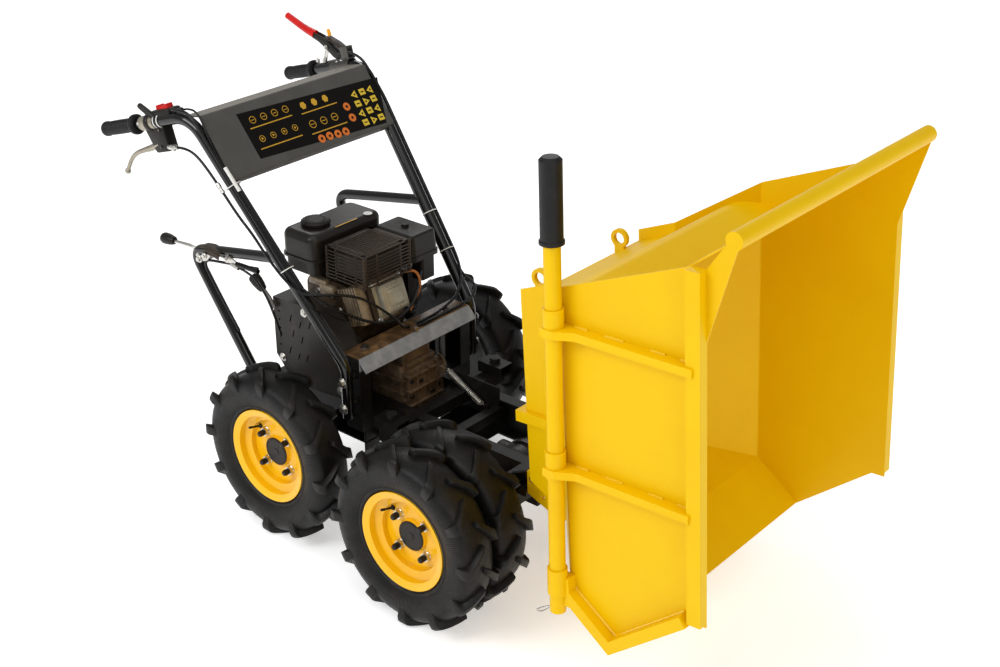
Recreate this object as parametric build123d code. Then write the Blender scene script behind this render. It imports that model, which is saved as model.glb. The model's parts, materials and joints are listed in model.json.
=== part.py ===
from build123d import *
import math
import os

# Walk-behind site dumper with a front tipping skip, millimetres, +Z up, +X forwards.
# Machine frame: x = 0 on the rear axle, y = 0 on the middle plane, z = 0 on the ground.
# The skip is drawn level, about its hinge, and stands tipped forwards as stored.

# ---- driving dimensions: wheels ----
WHEELBASE = 482.0
TYRE_RADIUS = 211.0
TYRE_WIDTH = 106.0
TYRE_WALL = 11.0
RIM_RADIUS = 115.5
BEAD_RADIUS = 102.0
WELL_RADIUS = 84.0
RIM_WIDTH = 74.0
RIM_SHEET = 3.0
DISC_INSET = 44.0
DISC_SHEET = 6.0
HUB_RADIUS = 34.0
STUD_CIRCLE = 54.0
STUD_RADIUS = 6.0
STUD_COUNT = 4
REAR_WHEEL_Y = 328.0
TWIN_INNER_Y = 275.0
TWIN_PITCH = 110.0
SHAFT_RADIUS = 12.5
SHAFT_FIT = 0.05
AXLE_TUBE_RADIUS = 22.0
AXLE_TUBE_HALF = 196.0
SHAFT_GRIP = 60.0

# ---- driving dimensions: chassis ----
RAIL_REAR = -190.0
RAIL_FRONT = 600.0
RAIL_INNER_Y = 80.0
RAIL_WIDTH = 30.0
RAIL_WALL = 5.0
RAIL_BOTTOM = 195.0
RAIL_TOP = 290.0
STAND_REAR = 90.0
STAND_FRONT = 142.0
STAND_HALF = 190.0
STAND_WALL = 5.0
CROSSBAR_TOP = 441.0
BAR_BEND_X = 138.0
BAR_EDGE = (163.0, 411.0)
FOOT_BOLTS_Z = (328.0, 396.0)
DECK_TOP = 372.0
DECK_SHEET = 6.0
DECK_HALF = 122.0
DECK_REAR = -170.0

# ---- driving dimensions: skip ----
HINGE_X = 638.0
HINGE_Z = 312.0
TIP_ANGLE = 86.25
SHEET = 3.0
HOPPER_HALF = 204.0
SKIP_HALF = 350.0
FLOOR_H = 18.0
FLANK_H = 111.5
WALL_H = 236.5
RIM_H = 523.5
RIM_BAR = 30.0
RIM_BAR_OUT = 20.0
FLOOR_FRONT = -16.4
FLOOR_REAR = -452.4
FLANK_REAR = -485.8
WALL_REAR = -556.0
RIM_REAR = -657.7
WALL_FRONT = 109.6
LIP_FRONT = 194.6
LIP_H = 341.5
RIM_FRONT = 58.6
REAR_INSET = 25.0
CREST_A = -521.0
CREST_H = 197.0
VALLEY_A = -493.0
VALLEY_H = 287.5
GUARD_TUBE_A = -719.0
GUARD_TUBE_H = 607.5
GUARD_TUBE_RADIUS = 17.0
LEVER_Y = 373.0
LEVER_H = 229.0
LEVER_RADIUS = 16.5
LEVER_TURN = 1.7
LEVER_PIVOT = -212.0
LEVER_REAR = -813.0
LEVER_FRONT = 137.0
GRIP_FRONT = -650.0
PIN_RADIUS = 7.0
PIN_FIT = 0.05
LUG_RADIUS = 13.0
LUG_Y = 150.0
LUG_THICK = 12.0
EAR_GAP = 4.0
EAR_THICK = 8.0

RIB_OUT = 25.0
RIB_WIDE = 25.0
SIDE_BAR = 17.0
RIBS_REAR = (-487.0, -194.0)
SLEEVES = (RIBS_REAR[0] - 8.0, RIBS_REAR[1] - 5.0, 65.0)
SLEEVE_LONG = 58.0
SLEEVE_RADIUS = 20.5
BAND_A = -212.0
SLEEVE_FIT = 0.3
EYE_Y = 136.0
EYE_A = -453.0
EYE_H = 16.0
EYE_RADIUS = 21.0
EYE_HOLE = 13.0
EAR_TOE = (40.0, -17.0)
EAR_HOLES = ((22, 42, 5), (48, 62, 5), (40, 26, 5), (56, 100, 6))

# ---- driving dimensions: buffers, spring bar and tipping stops ----
STOP_GAP = 0.5
tip = math.radians(TIP_ANGLE)
BUFFER_X = HINGE_X + FLOOR_REAR + REAR_INSET + 20.0
BUFFER_Y = 182.0
BUFFER_TOP = HINGE_Z + FLOOR_H - 0.3
BUFFER_HEIGHT = 12.0
SPRING_BAR_X = 312.0
SPRING_BAR_TOP = 270.0
EAR_Y = LUG_Y + LUG_THICK + EAR_GAP
STOP_X = HINGE_X + EAR_TOE[0] * math.cos(tip) + EAR_TOE[1] * math.sin(tip) - STOP_GAP
STOP_BOTTOM = 262.0
STOP_TOP = 280.0

# ---- driving dimensions: handles ----
HANDLE_RADIUS = 14.0
HANDLE_PATH = ((-568.0, 294.0, 865.0), (-282.0, 272.0, 951.0), (124.0, 215.0, 424.0), (124.0, 215.0, 296.0))
HANDLE_BENDS = (75.0, 60.0)

BRACE_Y = 222.0
BRACE_RADIUS = 10.0
BRACE_PATH = ((-50.0, 236.0, 650.0), (-356.0, 230.0, 588.0), (-172.0, 222.0, 300.0), (-172.0, 222.0, 290.0))
GRIP_RADIUS = 17.0
GRIP_LENGTH = 118.0
PANEL_HALF = 263.0
PANEL_BOTTOM = (-163.0, 822.6)
PANEL_TOP = (-262.0, 951.1)

HOUSING_AT = 205.0
BRAKE_LEVER = ((-376, -281, 863), (-442, -284, 838), (-490, -287, 812), (-513, -288, 769))
DRIVE_CLAMP_AT = 200.0
DRIVE_LEVER = ((-374, 279, 944), (-404, 282, 990), (-456, 285, 996), (-556, 287, 1026))

# ---- driving dimensions: engine, belt guard, springs and cables ----
CRANK = (-58.0, 470.0)
CASE_TOP = 545.0
CYLINDER = Pos(3, -8, 489) * Rot(0, -20, 0)
FIN_COUNT = 8
FIN_PITCH = 7.4
STARTER_SLOTS = 14
TANK_REAR = -166.0
TANK_FRONT = -54.0
TANK_TOP = 668.0
TANK_LEFT = 102.0
CAP_NOTCHES = 16
GUARD_X = (-40.0, 84.0)
GUARD_Y = (-104.0, 46.0)
GUARD_Z = (567.0, 645.0)
GUARD_SHEET = 2.0
GUARD_PITCH = 7.0
GUARD_SLOT = 3.4
GUARD_ROWS = 9
GUARD_TOP_ROWS = 13
BELT_LOUVRES = ((-92, 470), (-60, 462), (-28, 470), (-86, 432), (-56, 424),
                (-100, 384), (-70, 376), (-42, 380))
SPRING_ENDS = ((176.0, 55.0, 330.0), (304.5, 55.0, 274.0))
SPRING_RADIUS = 8.5
CABLE_RADIUS = 3.5
ANCHOR = (112.0, 138.0, 7.0, 457.0)

# The whole length, from the grips' ends to the skip's top tube, is centred on the origin.
GRIP_CAP = 6.0
grip_run = math.dist(HANDLE_PATH[0], HANDLE_PATH[1])
grip_cos = (HANDLE_PATH[1][0] - HANDLE_PATH[0][0]) / grip_run
OVERALL_REAR = HANDLE_PATH[0][0] - GRIP_CAP * grip_cos - (GRIP_RADIUS + 1) * math.sqrt(1 - grip_cos**2)
OVERALL_FRONT = HINGE_X + GUARD_TUBE_A * math.cos(tip) + GUARD_TUBE_H * math.sin(tip) + GUARD_TUBE_RADIUS
SHIFT = -(OVERALL_REAR + OVERALL_FRONT) / 2

os.makedirs("parts", exist_ok=True)


def write(name, shape):
    """Writes one node, moved from the machine frame to the part's own origin."""
    placed = Pos(SHIFT, 0, 0) * shape
    solids = placed.solids()
    export_step(Compound(children=list(solids)) if len(solids) > 1 else solids[0], f"parts/{name}.step")
    print(name, len(solids), round(sum(s.volume for s in solids)))


def block(x0, x1, y0, y1, z0, z1):
    """A box between two corners."""
    return Pos((x0 + x1) / 2, (y0 + y1) / 2, (z0 + z1) / 2) * Box(abs(x1 - x0), abs(y1 - y0), abs(z1 - z0))


def rod(x, z, y0, y1, radius):
    """A cylinder along Y."""
    return Pos(x, (y0 + y1) / 2, z) * Rot(90, 0, 0) * Cylinder(radius, abs(y1 - y0))


def plate_xz(points, y0, y1):
    """A flat plate: an outline in x and z, given thickness between two y values."""
    outline = make_face(Polyline(*[(x, y0, z) for x, z in points], close=True))
    return extrude(outline, amount=y1 - y0, dir=(0, 1, 0))


def strip_xz(points, bends, thickness, y0, y1):
    """Bent sheet: a centre line in x and z with bend radii, extruded from y0 to y1."""
    path = FilletPolyline(*[(x, z) for x, z in points], radius=bends) if bends else Polyline(*points)
    section = trace(path, line_width=thickness)
    flat = extrude(Plane.XZ * section, amount=abs(y1 - y0))
    return Pos(0, max(y0, y1), 0) * flat


def tube_along(points, bends, radius):
    """A round bar along straight runs joined by tangent arcs."""
    path = FilletPolyline(*points, radius=bends) if bends else Polyline(*points)
    start = path ^ 0
    return sweep(start * Circle(radius), path=path)


def biggest(shape):
    return max(shape.solids(), key=lambda s: s.volume)


# ---- wheels ----
def rim(center_y, side):
    """Deep dish rim with its dish, hub, studs; opens outwards on the given side."""
    half = RIM_WIDTH / 2
    outer = [
        (-half, RIM_RADIUS), (-half + 4, RIM_RADIUS), (-half + 8, BEAD_RADIUS), (-half + 22, BEAD_RADIUS),
        (-half + 28, WELL_RADIUS), (half - 28, WELL_RADIUS), (half - 22, BEAD_RADIUS), (half - 8, BEAD_RADIUS),
        (half - 4, RIM_RADIUS), (half, RIM_RADIUS), (half, RIM_RADIUS - RIM_SHEET),
        (half - 5, BEAD_RADIUS - RIM_SHEET), (half - 20, BEAD_RADIUS - RIM_SHEET),
        (half - 26, WELL_RADIUS - RIM_SHEET), (-half + 26, WELL_RADIUS - RIM_SHEET),
        (-half + 20, BEAD_RADIUS - RIM_SHEET), (-half + 5, BEAD_RADIUS - RIM_SHEET),
        (-half, RIM_RADIUS - RIM_SHEET),
    ]
    disc_out = half - DISC_INSET + DISC_SHEET
    disc_in = half - DISC_INSET
    disc = [(disc_in, 0), (disc_out + 8, 0), (disc_out + 8, HUB_RADIUS), (disc_out, HUB_RADIUS + 5),
            (disc_out, WELL_RADIUS - RIM_SHEET), (disc_in, WELL_RADIUS - RIM_SHEET)]
    body = revolve(make_face(Polyline(*outer, close=True)), axis=Axis.X)
    body += revolve(make_face(Polyline(*disc, close=True)), axis=Axis.X)
    for step in range(STUD_COUNT):
        angle = 45 + 360 * step / STUD_COUNT
        body += Rot(angle, 0, 0) * Pos(disc_out, 0, STUD_CIRCLE) * Rot(0, 90, 0) * Cylinder(
            STUD_RADIUS, 24, align=(Align.CENTER, Align.CENTER, Align.MIN))
    return Pos(0, center_y, TYRE_RADIUS) * Rot(0, 0, 90 * side) * body


def tyre(center_y):
    """Carcass with an open bead, crowned tread and bulged side walls."""
    half = TYRE_WIDTH / 2
    bead = RIM_WIDTH / 2 - 8.2
    with BuildSketch() as section:
        with BuildLine():
            Polyline((-bead, BEAD_RADIUS), (-bead, RIM_RADIUS + 6))
            ThreePointArc((-bead, RIM_RADIUS + 6), (-half, 158), (-half + 12, 190))
            ThreePointArc((-half + 12, 190), (0, TYRE_RADIUS), (half - 12, 190))
            ThreePointArc((half - 12, 190), (half, 158), (bead, RIM_RADIUS + 6))
            Polyline((bead, RIM_RADIUS + 6), (bead, BEAD_RADIUS), (bead - TYRE_WALL, BEAD_RADIUS),
                     (bead - TYRE_WALL, RIM_RADIUS + 6))
            ThreePointArc((bead - TYRE_WALL, RIM_RADIUS + 6), (half - TYRE_WALL, 158),
                          (half - 12 - TYRE_WALL, 183))
            ThreePointArc((half - 12 - TYRE_WALL, 183), (0, TYRE_RADIUS - 2 * TYRE_WALL),
                          (-half + 12 + TYRE_WALL, 183))
            ThreePointArc((-half + 12 + TYRE_WALL, 183), (-half + TYRE_WALL, 158),
                          (-bead + TYRE_WALL, RIM_RADIUS + 6))
            Polyline((-bead + TYRE_WALL, RIM_RADIUS + 6), (-bead + TYRE_WALL, BEAD_RADIUS),
                     (-bead, BEAD_RADIUS))
        make_face()
    body = revolve(section.sketch, axis=Axis.X)
    return Pos(0, center_y, TYRE_RADIUS) * Rot(0, 0, 90) * body


def shaft(side, y_from, y_to):
    return rod(0, TYRE_RADIUS, side * y_from, side * y_to, SHAFT_RADIUS)


def wheels():
    sides = (("right", -1), ("left", 1))
    for name, side in sides:
        disc_y = REAR_WHEEL_Y + RIM_WIDTH / 2 - DISC_INSET
        rim_shape = rim(side * REAR_WHEEL_Y, side)
        rim_shape += shaft(side, AXLE_TUBE_HALF - SHAFT_GRIP, disc_y)
        write(f"rear_{name}_rim", rim_shape)
        write(f"rear_{name}_tyre", tyre(side * REAR_WHEEL_Y))
        outer_y = TWIN_INNER_Y + TWIN_PITCH
        twin = rim(side * TWIN_INNER_Y, side) + rim(side * outer_y, side)
        twin += shaft(side, AXLE_TUBE_HALF - SHAFT_GRIP, outer_y + RIM_WIDTH / 2 - DISC_INSET)
        twin += rod(0, TYRE_RADIUS, side * TWIN_INNER_Y, side * outer_y, HUB_RADIUS - 8)
        write(f"front_{name}_rims", Pos(WHEELBASE, 0, 0) * twin)
        tyres = [tyre(side * TWIN_INNER_Y), tyre(side * outer_y)]
        write(f"front_{name}_tyres", Pos(WHEELBASE, 0, 0) * Compound(children=tyres))


def axle(x):
    """Axle housing with its bored ends."""
    body = rod(x, TYRE_RADIUS, -AXLE_TUBE_HALF, AXLE_TUBE_HALF, AXLE_TUBE_RADIUS)
    for side in (-1, 1):
        flange_y = side * (AXLE_TUBE_HALF - 8)
        body += rod(x, TYRE_RADIUS, flange_y, side * AXLE_TUBE_HALF, AXLE_TUBE_RADIUS + 12)
        body -= rod(x, TYRE_RADIUS, side * (AXLE_TUBE_HALF - SHAFT_GRIP - 4), side * AXLE_TUBE_HALF,
                    SHAFT_RADIUS + SHAFT_FIT)
    return body


# ---- chassis ----

def chassis_frame():
    """Two channel rails with their cross members, outriggers, buffer seats and hinge lugs."""
    body = Part()
    for side in (-1, 1):
        inner = side * RAIL_INNER_Y
        outer = side * (RAIL_INNER_Y + RAIL_WIDTH)
        rail = block(RAIL_REAR, RAIL_FRONT, inner, outer, RAIL_BOTTOM, RAIL_TOP)
        web = side * RAIL_WALL
        rail -= block(RAIL_REAR - 1, RAIL_FRONT + 1, inner - web, outer - web, RAIL_BOTTOM + RAIL_WALL,
                      RAIL_TOP - RAIL_WALL)
        body += rail
    web_y = RAIL_INNER_Y + RAIL_WIDTH - RAIL_WALL
    hinge_beam = (RAIL_FRONT - 45, RAIL_FRONT, EAR_Y + EAR_THICK + 8, RAIL_TOP - 60, RAIL_TOP)
    cross_members = (
        # rear x, front x, half width, bottom z, top z
        (RAIL_REAR, RAIL_REAR + 40, RAIL_INNER_Y + 5, RAIL_BOTTOM, RAIL_BOTTOM + 50),
        (RAIL_REAR, RAIL_REAR + 40, BRACE_Y + 14, RAIL_TOP - 40, RAIL_TOP),
        (SPRING_BAR_X, SPRING_BAR_X + 26, web_y, SPRING_BAR_TOP - 26, SPRING_BAR_TOP),
        (BUFFER_X - 22, BUFFER_X + 12, BUFFER_Y + 22, RAIL_TOP - 30, RAIL_TOP),
        hinge_beam,
    )
    for x0, x1, half, z0, z1 in cross_members:
        body += block(x0, x1, -half, half, z0, z1)
    for side in (-1, 1):
        foot_y = side * STAND_HALF
        body += block(STAND_REAR, STAND_FRONT, side * RAIL_INNER_Y, foot_y, RAIL_TOP - 40, RAIL_TOP)
        body += buffer_seat(side)
        body += hinge_lug(side)
        body -= rod(HINGE_X, HINGE_Z, side * (LUG_Y - 1), side * (LUG_Y + LUG_THICK + 1), PIN_RADIUS)
        stop_y0, stop_y1 = side * (EAR_Y - 4), side * (EAR_Y + EAR_THICK + 4)
        body += block(RAIL_FRONT - 4, STOP_X, stop_y0, stop_y1, STOP_BOTTOM, STOP_TOP)
    spring_x, spring_y, spring_z = SPRING_ENDS[1]
    hook_z0, hook_z1 = SPRING_BAR_TOP - 10, spring_z + 6
    body += block(spring_x + 0.5, SPRING_BAR_X + 6, spring_y - 3, spring_y + 3, hook_z0, hook_z1)
    for x in (0, WHEELBASE):
        body -= rod(x, TYRE_RADIUS, -130, 130, AXLE_TUBE_RADIUS)
    return body


def buffer_seat(side):
    """Box tube, open fore and aft, that lifts a rubber buffer to the skip's floor."""
    top = BUFFER_TOP - BUFFER_HEIGHT
    y0, y1 = side * (BUFFER_Y - 22), side * (BUFFER_Y + 22)
    wall = side * 4
    tube = block(BUFFER_X - 36, BUFFER_X + 36, y0, y1, RAIL_TOP, top)
    return tube - block(BUFFER_X - 37, BUFFER_X + 37, y0 + wall, y1 - wall, RAIL_TOP + 4, top - 4)


def hinge_lug(side):
    """Ear of the hinge beam, rounded about the pin."""
    outline = [(RAIL_FRONT - 45, RAIL_TOP - 4), (RAIL_FRONT, RAIL_TOP - 44), (HINGE_X + 6, HINGE_Z - 11.4),
               (HINGE_X - 8, HINGE_Z + 10.0)]
    lug = plate_xz(outline, side * LUG_Y, side * (LUG_Y + LUG_THICK))
    return lug + rod(HINGE_X, HINGE_Z, side * LUG_Y, side * (LUG_Y + LUG_THICK), LUG_RADIUS)


def engine_stand():
    """Two channel posts, the folded bar that joins their tops and the bosses for the handles' feet."""
    body = Part()
    top = CROSSBAR_TOP - STAND_WALL
    for side in (-1, 1):
        outer = side * STAND_HALF
        post = block(STAND_REAR, STAND_FRONT, outer, outer - side * 34, RAIL_TOP, top)
        post -= block(STAND_REAR + STAND_WALL, STAND_FRONT - STAND_WALL, outer - side * STAND_WALL,
                      outer - side * 35, RAIL_TOP - 1, top - STAND_WALL)
        for z in FOOT_BOLTS_Z:
            post += rod(HANDLE_PATH[2][0], z, outer, side * (HANDLE_PATH[2][1] - 4), 9)
        body += post - handle_tube(side)
    half_wall = STAND_WALL / 2
    middle = CROSSBAR_TOP - half_wall
    bar = [(STAND_REAR - 4, middle), (BAR_BEND_X, middle), BAR_EDGE]
    body += strip_xz(bar, 6, STAND_WALL, -STAND_HALF, STAND_HALF)
    rear, front, half, top = ANCHOR
    return body + block(rear, front, -half, half, CROSSBAR_TOP - 1, top)


def engine_deck():
    """Folded tray under the engine, on four feet that stand on the rails."""
    body = block(DECK_REAR, STAND_REAR - 1, -DECK_HALF, DECK_HALF, DECK_TOP - DECK_SHEET, DECK_TOP)
    for side in (-1, 1):
        edge = side * DECK_HALF
        body += block(DECK_REAR, STAND_REAR - 1, edge - side * DECK_SHEET, edge, DECK_TOP - 24, DECK_TOP)
        for x in (DECK_REAR + 105, STAND_REAR - 60):
            body += block(x, x + 40, side * RAIL_INNER_Y, side * (RAIL_INNER_Y + 6), RAIL_TOP, DECK_TOP - 3)
    return body + block(-60, STAND_REAR - 1, DECK_HALF - DECK_SHEET, DECK_HALF, RAIL_TOP + 6, DECK_TOP - 3)


def rubber_buffers():
    z = BUFFER_TOP - BUFFER_HEIGHT / 2
    buffers = [Pos(BUFFER_X, side * BUFFER_Y, z) * Cylinder(13, BUFFER_HEIGHT) for side in (-1, 1)]
    return Compound(children=buffers)


def gearbox():
    """Ribbed gear case between the rails, with the rear axle's final drive under it."""
    front, rear, half, low = 142.0, 34.0, 54.0, 222.0
    body = block(rear, front, -half, half, low, DECK_TOP - DECK_SHEET)
    body = fillet(body.edges().filter_by(Axis.Z), 10)
    body += fillet(block(STAND_REAR + 22, front, -half + 8, half - 6, low, 398).edges().filter_by(Axis.Z), 8)
    for z in (low, 254, 292, 326):
        body += block(rear - 5, front + 6, -half - 5, half + 5, z, z + 6)
    for y in (-26, 14):
        body += block(front - 6, front + 4, y, y + 6, low, 360)
    for y in (-44, 44):
        for z in (273, 345):
            body += Pos(front, y, z) * Rot(0, 90, 0) * Cylinder(8, 14)
    spring_x, spring_y, spring_z = SPRING_ENDS[0]
    body += block(front - 2, spring_x + 6, spring_y - 9, spring_y - 3, spring_z - 10, spring_z + 10)
    body += rod(spring_x, spring_z, spring_y - 6, spring_y + 6, 4)
    body += rod(0, TYRE_RADIUS, -50, 50, 50)
    body += block(0, rear + 10, -46, 46, TYRE_RADIUS - 40, TYRE_RADIUS + 44)
    return body - rod(0, TYRE_RADIUS, -70, 70, AXLE_TUBE_RADIUS)


def drive_shaft():
    """Propeller shaft with its two coupling hubs, and the front axle's final drive."""
    def along(x0, x1, radius):
        return Pos((x0 + x1) / 2, 0, TYRE_RADIUS) * Rot(0, 90, 0) * Cylinder(radius, x1 - x0)
    rear = 142.0
    body = along(148, 430, 14)
    body += along(rear, rear + 34, 26) + along(400, 446, 30)
    case = rod(WHEELBASE, TYRE_RADIUS, -46, 46, 52)
    body += fillet(case.edges(), 12)
    body += along(440, WHEELBASE + 44, 44)
    body += rod(WHEELBASE, TYRE_RADIUS, -8, 8, 58)
    return body - rod(WHEELBASE, TYRE_RADIUS, -70, 70, AXLE_TUBE_RADIUS) - gearbox()


def engine_block():
    """Crankcase on its base flange, the leaning cylinder's fins, and the drive boss on the right."""
    body = block(-140, 24, -92, 98, DECK_TOP, DECK_TOP + 12)
    case = block(-132, 16, -86, 92, DECK_TOP + 10, CASE_TOP)
    body += fillet(case.edges().filter_by(Axis.Y), 26)
    body += rod(CRANK[0], CRANK[1], -98, 98, 66)
    for step in range(FIN_COUNT):
        x = 6 + FIN_PITCH * step
        body += CYLINDER * fillet(block(x, x + 3, -56, 56, -50, 50).edges().filter_by(Axis.X), 9)
    body += CYLINDER * block(-20, 62, -42, 42, -38, 38)
    body += CYLINDER * block(-6, 4, -50, 50, -46, 46)
    body += rod(CRANK[0], CRANK[1], -128, -86, 22)
    return body


def valve_cover():
    """Pressed cover with a raised middle on its flange."""
    flange = fillet(block(62, 65, -50, 50, -46, 46).edges().filter_by(Axis.X), 10)
    dome = fillet(block(65, 83, -44, 44, -40, 40).edges().filter_by(Axis.X), 12)
    dome = fillet(dome.faces().sort_by(Axis.X)[-1].edges(), 6)
    return CYLINDER * (flange + dome)


def fan_housing():
    """Fan scroll and the slotted starter cover on its outer face."""
    x, z = CRANK
    scroll = rod(x, z, 98, 150, 84) + block(x + 20, x + 84, 98, 150, z - 30, z + 60)
    body = fillet(scroll.faces().sort_by(Axis.Y)[-1].edges(), 8)
    cover = rod(x, z, 150, 170, 60)
    cover = fillet(cover.faces().sort_by(Axis.Y)[-1].edges(), 6)
    for step in range(STARTER_SLOTS):
        slot = Pos(x, 0, z) * Rot(0, 360 * step / STARTER_SLOTS, 0) * block(26, 48, 162, 172, -3, 3)
        cover -= slot
    body += cover
    return body


def fuel_tank():
    """Pressed tank: upper shell, seam flange, lower pan and its foot on the crankcase."""
    upper = block(TANK_REAR, TANK_FRONT, -132, TANK_LEFT, 606, TANK_TOP)
    upper = fillet(upper.edges().filter_by(Axis.Z), 24)
    upper = fillet(upper.faces().sort_by(Axis.Z)[-1].edges(), 18)
    seam = block(TANK_REAR - 4, TANK_FRONT + 4, -136, TANK_LEFT + 4, 601, 606)
    seam = fillet(seam.edges().filter_by(Axis.Z), 28)
    pan = block(TANK_REAR + 4, TANK_FRONT - 4, -128, TANK_LEFT - 4, 568, 601)
    pan = fillet(pan.edges().filter_by(Axis.Z), 20)
    return upper + seam + pan + block(TANK_REAR + 30, TANK_REAR + 66, -60, 40, CASE_TOP, 568)


def fuel_cap():
    """Screw cap with finger notches."""
    cap = Cylinder(34, 18, align=(Align.CENTER, Align.CENTER, Align.MIN))
    cap = fillet(cap.faces().sort_by(Axis.Z)[-1].edges(), 4)
    for step in range(CAP_NOTCHES):
        cap -= Rot(0, 0, 360 * step / CAP_NOTCHES) * Pos(35, 0, 9) * Cylinder(3.2, 20)
    return Pos(TANK_REAR + 54, -78, TANK_TOP) * cap


def muffler():
    """Exhaust box on its bracket."""
    body = block(GUARD_X[0] + 10, GUARD_X[1] - 10, GUARD_Y[0] + 12, GUARD_Y[1] - 10, 577, 635)
    body = fillet(body.edges(), 9)
    return body + block(GUARD_X[0] + 16, GUARD_X[0] + 24, -70, 20, CASE_TOP, 590)


def muffler_guard():
    """Slotted heat guard: a box open below, its four walls and top cut into slats."""
    x0, x1 = GUARD_X
    y0, y1 = GUARD_Y
    z0, z1 = GUARD_Z
    box = block(x0, x1, y0, y1, z0, z1)
    box = fillet(box.edges().filter_by(Axis.Z), 8)
    box -= block(x0 + GUARD_SHEET, x1 - GUARD_SHEET, y0 + GUARD_SHEET, y1 - GUARD_SHEET,
                 z0 - 1, z1 - GUARD_SHEET)
    post = 14
    for row in range(GUARD_ROWS):
        z = z0 + 10 + row * GUARD_PITCH
        box -= block(x0 + post, x1 - post, y0 - 1, y1 + 1, z, z + GUARD_SLOT)
        box -= block(x0 - 1, x1 + 1, y0 + post, y1 - post, z, z + GUARD_SLOT)
    for row in range(GUARD_TOP_ROWS):
        x = x0 + 18 + row * GUARD_PITCH
        for start in (y0 + post, (y0 + y1) / 2 + 4):
            box -= block(x, x + GUARD_SLOT, start, start + (y1 - y0) / 2 - post - 4, z1 - 5, z1 + 1)
    for y in (y0 + 30, y1 - 28):
        box += block(x0 + GUARD_SHEET - 1, x0 + 11, y - 6, y + 6, 608.2, 612.2)
        box += block(x1 - 11, x1 - GUARD_SHEET + 1, y - 6, y + 6, 608.2, 612.2)
    return box - muffler()


def air_cleaner():
    """Tapered cover on its base box, with the knob on top and the intake neck below."""
    wide, deep = 132.0, 92.0
    middle = Pos(22.0, 98, -4)
    cover = extrude(Plane.XY * RectangleRounded(wide, deep, 14), amount=52, taper=6)
    cover = fillet(cover.faces().sort_by(Axis.Z)[-1].edges(), 6)
    body = middle * Pos(0, 0, 598) * cover
    body += middle * Pos(0, 0, 586) * extrude(Plane.XY * RectangleRounded(wide + 4, deep + 4, 14), amount=12)
    body += middle * Pos(0, 0, 649) * Cylinder(9, 8, align=(Align.CENTER, Align.CENTER, Align.MIN))
    body += fillet(block(-36, -12, 60, 92, CASE_TOP, 583).edges().filter_by(Axis.Z), 6)
    body += fillet(block(42, 78, 94, 140, 520, 583).edges().filter_by(Axis.Z), 6)
    return body


def belt_guard():
    """Folded cover of the drive belt: outer wall with louvre slots, rim, and the flat back plate."""
    outline = [(-150, 511), (8, 517), (60, 470), (84, 440), (84, 312), (-44, 300), (-100, 304), (-150, 360)]
    outer, back, wall = -182.0, -128.0, 3.0
    cover = plate_xz(outline, outer, back)
    inner = offset(make_face(Polyline(*[(x, 0, z) for x, z in outline], close=True)), -wall)
    cover -= Pos(0, outer + wall, 0) * extrude(inner, amount=back - outer - 2 * wall, dir=(0, 1, 0))
    for x, z in BELT_LOUVRES:
        cover -= Pos(x, outer, z) * Rot(0, 20, 0) * Box(3.5, 8, 20)
    for step in range(5):
        cover -= rod(-132, 478 - 22 * step, outer - 1, outer + wall + 1, 3)
    cover += plate_xz([(-40, 500), (86, 452), (86, 372), (-40, 372)], back - wall, back)
    return cover


def control_panel():
    """Folded instrument plate across the handles, resting on both tubes."""
    back = (PANEL_TOP[0] - 52, PANEL_TOP[1] - 10)
    hem = (PANEL_BOTTOM[0] - 8, PANEL_BOTTOM[1] - 12)
    right = biggest(strip_xz([hem, PANEL_BOTTOM, PANEL_TOP, back], 4, 3, -PANEL_HALF, 0) - handle_tube(-1))
    return biggest(right + mirror(right, Plane.XZ))


def along_handle(distance, side):
    """A point on a handle's straight end and its direction, measured from the tip."""
    tip_point = Vector(HANDLE_PATH[0][0], side * HANDLE_PATH[0][1], HANDLE_PATH[0][2])
    bend = Vector(HANDLE_PATH[1][0], side * HANDLE_PATH[1][1], HANDLE_PATH[1][2])
    run = (bend - tip_point).normalized()
    return Plane(origin=tip_point + run * distance, z_dir=run)


def grip(side):
    """Rubber grip with its thumb flange and rounded end."""
    flange = GRIP_RADIUS + 7
    profile = [(HANDLE_RADIUS, 0), (GRIP_RADIUS, 0), (GRIP_RADIUS, GRIP_LENGTH - 6), (flange, GRIP_LENGTH - 5),
               (flange, GRIP_LENGTH), (HANDLE_RADIUS, GRIP_LENGTH)]
    body = revolve(make_face(Polyline(*[(x, 0, z) for x, z in profile], close=True)), axis=Axis.Z)
    cap = Pos(0, 0, -GRIP_CAP / 2) * Cylinder(GRIP_RADIUS + 1, GRIP_CAP)
    body += fillet(cap.faces().sort_by(Axis.Z)[0].edges(), 3)
    return along_handle(0, side) * body


def switch_housing():
    """Moulded switch block round the right handle, tapering downwards to the brake lever's pivot."""
    half, low = 31.0, -74.0
    body = block(-19, 19, -18, 18, -half, half)
    body = fillet(body.edges().filter_by(Axis.Z), 5)
    side_view = Polyline((0, 0, -half + 4), (0, 0, half - 4), (low, 0, 24), (low, 0, -20), close=True)
    drop = extrude(make_face(side_view), amount=14, both=True, dir=(0, 1, 0))
    body += fillet(drop.edges(), 4)
    return along_handle(HOUSING_AT, -1) * (body - Cylinder(HANDLE_RADIUS, 200))


def engine_switch():
    """Rocker on the switch block's top."""
    rocker = plate_xz([(19, -14), (19, 14), (28, 14), (24, 0), (30, -14)], -9, 9)
    return along_handle(HOUSING_AT, -1) * rocker


def thumb_lever():
    """Throttle lever with its collar behind the switch block."""
    collar = Cylinder(HANDLE_RADIUS + 7, 12) - Cylinder(HANDLE_RADIUS, 20)
    arm = Rot(0, 0, 35) * tube_along([(18, 0, 0), (34, 0, -4), (50, 0, -28)], [10], 6.5)
    return along_handle(HOUSING_AT - 40, -1) * (collar + arm)


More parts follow.
